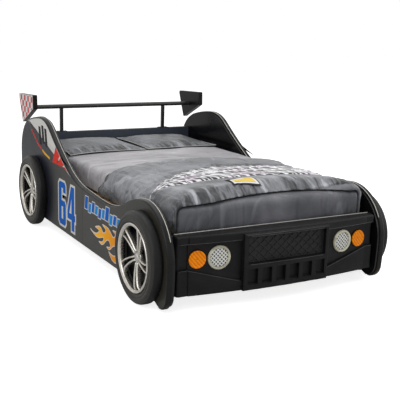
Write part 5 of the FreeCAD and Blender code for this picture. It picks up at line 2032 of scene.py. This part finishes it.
    def _label(self, cover: Piece) -> None:
        """Sew a plain label on the duvet, lying on the cover's own surface.

        Args:
            cover: The duvet.
        """
        bpy.context.view_layer.update()
        solid = cover.evaluated_get(bpy.context.evaluated_depsgraph_get())
        centre, turn = Vector((-0.084, -0.826)), math.radians(-6)
        across, along = 14, 10
        for name, wide, deep, layer, finish in (
                ("duvet_label_border", 0.150, 0.112, 0.0022, self.backing),
                ("duvet_label", 0.134, 0.096, 0.0028, self.label),
                ("duvet_label_print", 0.108, 0.066, 0.0033, self.patch)):
            points = []
            for row in range(along + 1):
                for column in range(across + 1):
                    u = (column / across - 0.5) * wide
                    v = (row / along - 0.5) * deep
                    x = centre.x + u * math.cos(turn) - v * math.sin(turn)
                    y = centre.y + u * math.sin(turn) + v * math.cos(turn)
                    hit, place, _, _ = solid.ray_cast(Vector((x, y, 0.7)), Vector((0, 0, -1)))
                    points.append(Vector((x, y, place.z - RIDE if hit else 0.47)))
            spots = np.array(points)
            away = spots[:, :2] - spots[:, :2].mean(0)
            terms = np.column_stack([np.ones(len(away)), away, away ** 2, away[:, :1] * away[:, 1:]])
            smooth = terms @ np.linalg.lstsq(terms, spots[:, 2], rcond=None)[0]
            for point, level in zip(points, smooth):
                point.z = 0.25 * point.z + 0.75 * level + layer + 0.0020
            piece_from(name, points, grid_faces(along, across), finish.material(), Body.DUVET)


@dataclass
class TopSheet:
    """Light satin sheet turned down between the duvet and the pillows."""

    front: float = -0.22
    rear: float = 0.442
    columns: int = 130
    rows: int = 60
    way: Drape = field(default_factory=lambda: Drape(0.5212, 0.032, 0.4372, 0.0118, 0.084))
    hem: float = 0.372
    hem_lean: float = 0.30
    tuck: float = -0.060
    tuck_bow: float = 0.55
    cover: Satin = Satin("top_sheet_satin", paint(150, 148, 152), paint(182, 179, 183), 0.42, 0.0012,
                         (0.4, 1.8, 1.0), 0.36)

    def build(self) -> None:
        """Make the sheet: it lies on the mattress and hangs a little at its sides."""
        points = []
        for row in range(self.rows + 1):
            along = self.front + (self.rear - self.front) * row / self.rows
            for column in range(self.columns + 1):
                run = self.way.reach * (2 * column / self.columns - 1)
                spot, out = self.way.at(run)
                soft = noise.noise(Vector((spot.x * 2.2, along * 9.0, 1.0)))
                fold = noise.noise(Vector((spot.x * 1.2 + 4, along * 24.0 + spot.x * 5, 2.0)))
                lift = 0.0016 + 0.0028 * max(0.0, soft) + 0.0034 * max(0.0, fold) ** 2
                tucked = self.tuck - self.tuck_bow * (spot.x - FOLD_MIDDLE) ** 2
                shown = clamped((along - tucked) / 0.05)
                hem = self.hem + self.hem_lean * spot.x
                roll = 0.006 * clamped((hem - along) / 0.006) ** 0.5 * shown
                room = 1.0 if abs(out.x) < 0.9 else 0.5
                spot = spot + out * ((lift + roll * out.y ** 2) * (0.25 + 0.75 * shown) * room)
                points.append(Vector((spot.x, along, spot.y)))
        cloth = piece_from("top_sheet_cloth", points, grid_faces(self.rows, self.columns),
                           self.cover.material(), Body.DUVET)
        subdivide(cloth)
        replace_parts(cloth, "top_sheet")


@dataclass
class Pillows:
    """Two satin pillows side by side, gathered along their front seams, with pale piping."""

    middle: float = 0.257
    half: float = 0.2465
    fronts: tuple[float, float] = (0.430, 0.441)
    rear: float = 0.939
    low: float = 0.4495
    high: float = 0.0585
    count: int = 72
    cover: Satin = Satin("pillow_satin", paint(66, 68, 72), paint(112, 114, 119), 0.40, 0.0014,
                         (1.0, 1.0, 1.0), 0.45, 0.432, 0.13)
    piping: Cord = Cord("pillow_piping", paint(178, 178, 176))
    piping_radius: float = 0.0023

    def build(self) -> None:
        """Make both pillows and their piping."""
        cover, cord = self.cover.material(), self.piping.material()
        for side, body in ((Side.LEFT, Body.LEFT_PILLOW), (Side.RIGHT, Body.RIGHT_PILLOW)):
            self._pillow(side, body, cover, cord)

    def _place(self, side: Side, u: float, v: float, top: bool) -> Vector:
        """Place on a pillow before it fills out.

        Args:
            side: The side of the bed.
            u: Share across, from -1 to 1.
            v: Share along, from -1 to 1.
            top: The upper layer.

        Returns:
            The place.
        """
        pull_x, pull_y = 0.014 * (1 - v * v), 0.012 * (1 - u * u)
        x = self.middle * side.value + u * (self.half - pull_x)
        front = self.fronts[side is Side.RIGHT]
        y = (front + self.rear) / 2 + v * ((self.rear - front) / 2 - pull_y)
        fullness = max(0.0, (1 - abs(u) ** 3.2) * (1 - abs(v) ** 3.2)) ** 0.5
        seam = self.low + 0.0090
        if side is Side.LEFT:
            corner = max(0.0, -u) ** 2 * max(0.0, -v) ** 2
            y -= 0.006 * corner
            seam -= 0.010 * corner
        if top:
            tilt = 0.86 + 0.14 * v
            return Vector((x, y, seam + (self.high - 0.015) * fullness * tilt))
        return Vector((x, y, seam - 0.0080 * min(1.0, fullness * 2.2)))

    def _pillow(self, side: Side, body: Body, cover: Finish,
                cord: Finish) -> None:
        """Make one pillow.

        Args:
            side: The side of the bed.
            body: The body that it rides on.
            cover: The cover's material.
            cord: The piping's material.
        """
        count = self.count
        shares = [math.sin(math.pi / 2 * (2 * step / count - 1)) * 0.35
                  + (2 * step / count - 1) * 0.65 for step in range(count + 1)]
        points, numbers = [], {}
        for top in (True, False):
            for row, v in enumerate(shares):
                for column, u in enumerate(shares):
                    rim = row in (0, count) or column in (0, count)
                    if rim and not top:
                        numbers[top, row, column] = numbers[True, row, column]
                        continue
                    numbers[top, row, column] = len(points)
                    points.append(self._place(side, u, v, top))
        faces = []
        for top in (True, False):
            for row in range(count):
                for column in range(count):
                    faces.append([numbers[top, row + dr, column + dc]
                                  for dr, dc in ((0, 0), (0, 1), (1, 1), (1, 0))])
        name = body.value
        pad = piece_from(f"{name}_cover", points, faces, cover, body)
        held = [number for (top, _, _), number in numbers.items() if not top]
        fill_out(pad, held, pressure=4.0, slack=0.04, cap=0.010)
        reshape(pad, lambda spot, normal: self._gathered(side, spot, normal))
        subdivide(pad)
        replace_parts(pad, name)
        rim = [numbers[True, 0, c] for c in range(count)] + [numbers[True, r, count] for r in range(count)]
        rim += [numbers[True, count, c] for c in range(count, 0, -1)]
        rim += [numbers[True, r, 0] for r in range(count, 0, -1)]
        line = [pad.data.vertices[number].co - Vector((0, 0, RIDE)) for number in rim[::2]]
        tube(f"{name}_piping", line, self.piping_radius, cord, body, closed=True)

    def _gathered(self, side: Side, spot: Vector, normal: Vector) -> Vector:
        """Gather the cover along its seams, most along the front one.

        Args:
            side: The side of the bed.
            spot: A vertex.
            normal: Its normal.

        Returns:
            Its new place.
        """
        if normal.z < 0.02 and spot.z < self.low + 0.010:
            return spot
        front, back = spot.y - self.fronts[side is Side.RIGHT], self.rear - spot.y
        across = abs(spot.x - self.middle * side.value)
        edge = self.half - across
        seed = 31.0 + 5 * side.value
        grow = clamped((spot.z - self.low - 0.009) / 0.012)
        lift = 0.0062 * ridge(spot.x, seed, 0.034) * bell(front, 0.035, 0.050)
        lift += 0.0028 * ridge(spot.x, seed + 2, 0.046) * math.exp(-back / 0.05)
        lift += 0.0030 * ridge(spot.y, seed + 4, 0.042) * math.exp(-edge / 0.045)
        lift += 0.0035 * noise.noise(Vector((spot.x * 6.0, spot.y * 5.0, seed)))
        return spot + normal * lift * grow


# ---------------------------------------------------------------- stage


@dataclass
class Studio:
    """White floor and surroundings, soft lamps, and the camera."""

    eye: Vector = field(default_factory=lambda: Vector((-2.0822, -3.9590, 1.2618)))
    ahead: Vector = field(default_factory=lambda: Vector((0.47545, 0.85196, -0.21935)))
    right: Vector = field(default_factory=lambda: Vector((0.87595, -0.48158, 0.02817)))
    lens: float = 70.55
    shift: float = 0.0075
    floor_colour: Colour = (0.80, 0.80, 0.80)
    floor_half: float = 14.0
    floor_level: float = -0.0004
    floor_glow: float = 0.8

    def build(self) -> None:
        """Make the floor, the surroundings, the lamps and the camera."""
        self._floor()
        self._surroundings()
        self._lamp("key", (-2.6, -2.9, 3.2), 3.2, 70.0)
        self._lamp("top", (0.3, 0.2, 4.0), 4.0, 55.0)
        self._lamp("fill", (3.2, -2.2, 2.2), 3.0, 26.0)
        self._camera()
        view = bpy.context.scene.view_settings
        view.view_transform = "Standard"

    def _floor(self) -> None:
        """Lay a floor that the camera sees almost white and that keeps the bed's shadow."""
        size, level = self.floor_half, self.floor_level
        mesh = bpy.data.meshes.new("floor")
        mesh.from_pydata([(-size, -size, level), (size, -size, level), (size, size, level),
                          (-size, size, level)], [], [(0, 1, 2, 3)])
        floor = bpy.data.objects.new("floor", mesh)
        bpy.context.scene.collection.objects.link(floor)
        make = Shader("floor_paint")
        speck = make.mottle(3.0, 3.0)
        colour = make.mix(speck, self.floor_colour, shade(self.floor_colour, 0.98))
        rough = make.rough(speck, 0.1, 0.8)
        material = make.done(colour, rough, make.relief(make.mottle(80.0), 0.0002),
                             Specular_IOR_Level=0.1)
        path = make.nodes.new("ShaderNodeLightPath")
        glow = make.nodes.new("ShaderNodeEmission")
        glow.inputs["Color"].default_value = (1.0, 1.0, 1.0, 1.0)
        seen = make.times(path.outputs["Is Camera Ray"], self.floor_glow)
        make.links.new(seen, glow.inputs["Strength"])
        both = make.nodes.new("ShaderNodeAddShader")
        output = next(node for node in make.nodes if node.type == "OUTPUT_MATERIAL")
        make.links.new(make.surface.outputs[0], both.inputs[0])
        make.links.new(glow.outputs[0], both.inputs[1])
        make.links.new(both.outputs[0], output.inputs[0])
        mesh.materials.append(material)

    def _surroundings(self) -> None:
        """Light softly from all round; what the camera and gloss see is white."""
        world = bpy.data.worlds.new("studio")
        bpy.context.scene.world = world
        world.use_nodes = True
        nodes, links = world.node_tree.nodes, world.node_tree.links
        nodes.clear()
        path = nodes.new("ShaderNodeLightPath")
        seen = path.outputs["Is Camera Ray"]
        for ray in ("Is Glossy Ray", "Is Transmission Ray"):
            larger = nodes.new("ShaderNodeMath")
            larger.operation = "MAXIMUM"
            links.new(seen, larger.inputs[0])
            links.new(path.outputs[ray], larger.inputs[1])
            seen = larger.outputs[0]
        soft, white, mix = (nodes.new(kind) for kind in
                            ("ShaderNodeBackground", "ShaderNodeBackground", "ShaderNodeMixShader"))
        for light, strength in ((soft, 0.5), (white, 1.0)):
            light.inputs["Strength"].default_value = strength
            light.inputs["Color"].default_value = (1.0, 1.0, 1.0, 1.0)
        output = nodes.new("ShaderNodeOutputWorld")
        links.new(seen, mix.inputs[0])
        links.new(soft.outputs[0], mix.inputs[1])
        links.new(white.outputs[0], mix.inputs[2])
        links.new(mix.outputs[0], output.inputs[0])

    def _lamp(self, name: str, place: tuple[float, float, float], size: float, power: float) -> None:
        """Hang a square soft lamp that looks at the bed.

        Args:
            name: Its name.
            place: Where it hangs.
            size: Its side.
            power: Its power, in watts.
        """
        lamp = bpy.data.lights.new(name, "AREA")
        lamp.size = size
        lamp.energy = power
        holder = bpy.data.objects.new(name, lamp)
        bpy.context.scene.collection.objects.link(holder)
        holder.location = place
        away = Vector((0.0, 0.0, 0.3)) - Vector(place)
        holder.rotation_euler = away.to_track_quat("-Z", "Y").to_euler()

    def _camera(self) -> None:
        """Set the camera where the photograph was taken from."""
        lens = bpy.data.cameras.new("camera")
        lens.lens = self.lens
        lens.sensor_width = 36.0
        lens.shift_x = self.shift
        camera = bpy.data.objects.new("camera", lens)
        bpy.context.scene.collection.objects.link(camera)
        ahead = self.ahead.normalized()
        right = (self.right - ahead * self.right.dot(ahead)).normalized()
        up = right.cross(ahead)
        turn = Matrix((right, up, -ahead)).transposed().to_4x4()
        camera.matrix_world = Matrix.Translation(self.eye) @ turn
        bpy.context.scene.camera = camera


def main() -> None:
    """Build every sub-assembly in order and report it."""
    logging.basicConfig(level=logging.INFO, format="%(name)s: %(message)s")
    Studio().build()
    hard = (SidePanels(), Wheels(), Bumper(), Spoiler())
    for part in hard:
        part.build()
        part.dress()
        log.info("%s built and dressed", type(part).__name__)
    Framework().dress()
    log.info("Framework dressed")
    for part in (Mattress(), Duvet(), TopSheet(), Pillows()):
        part.build()
        log.info("%s built", type(part).__name__)


if __name__ == "__main__":
    main()
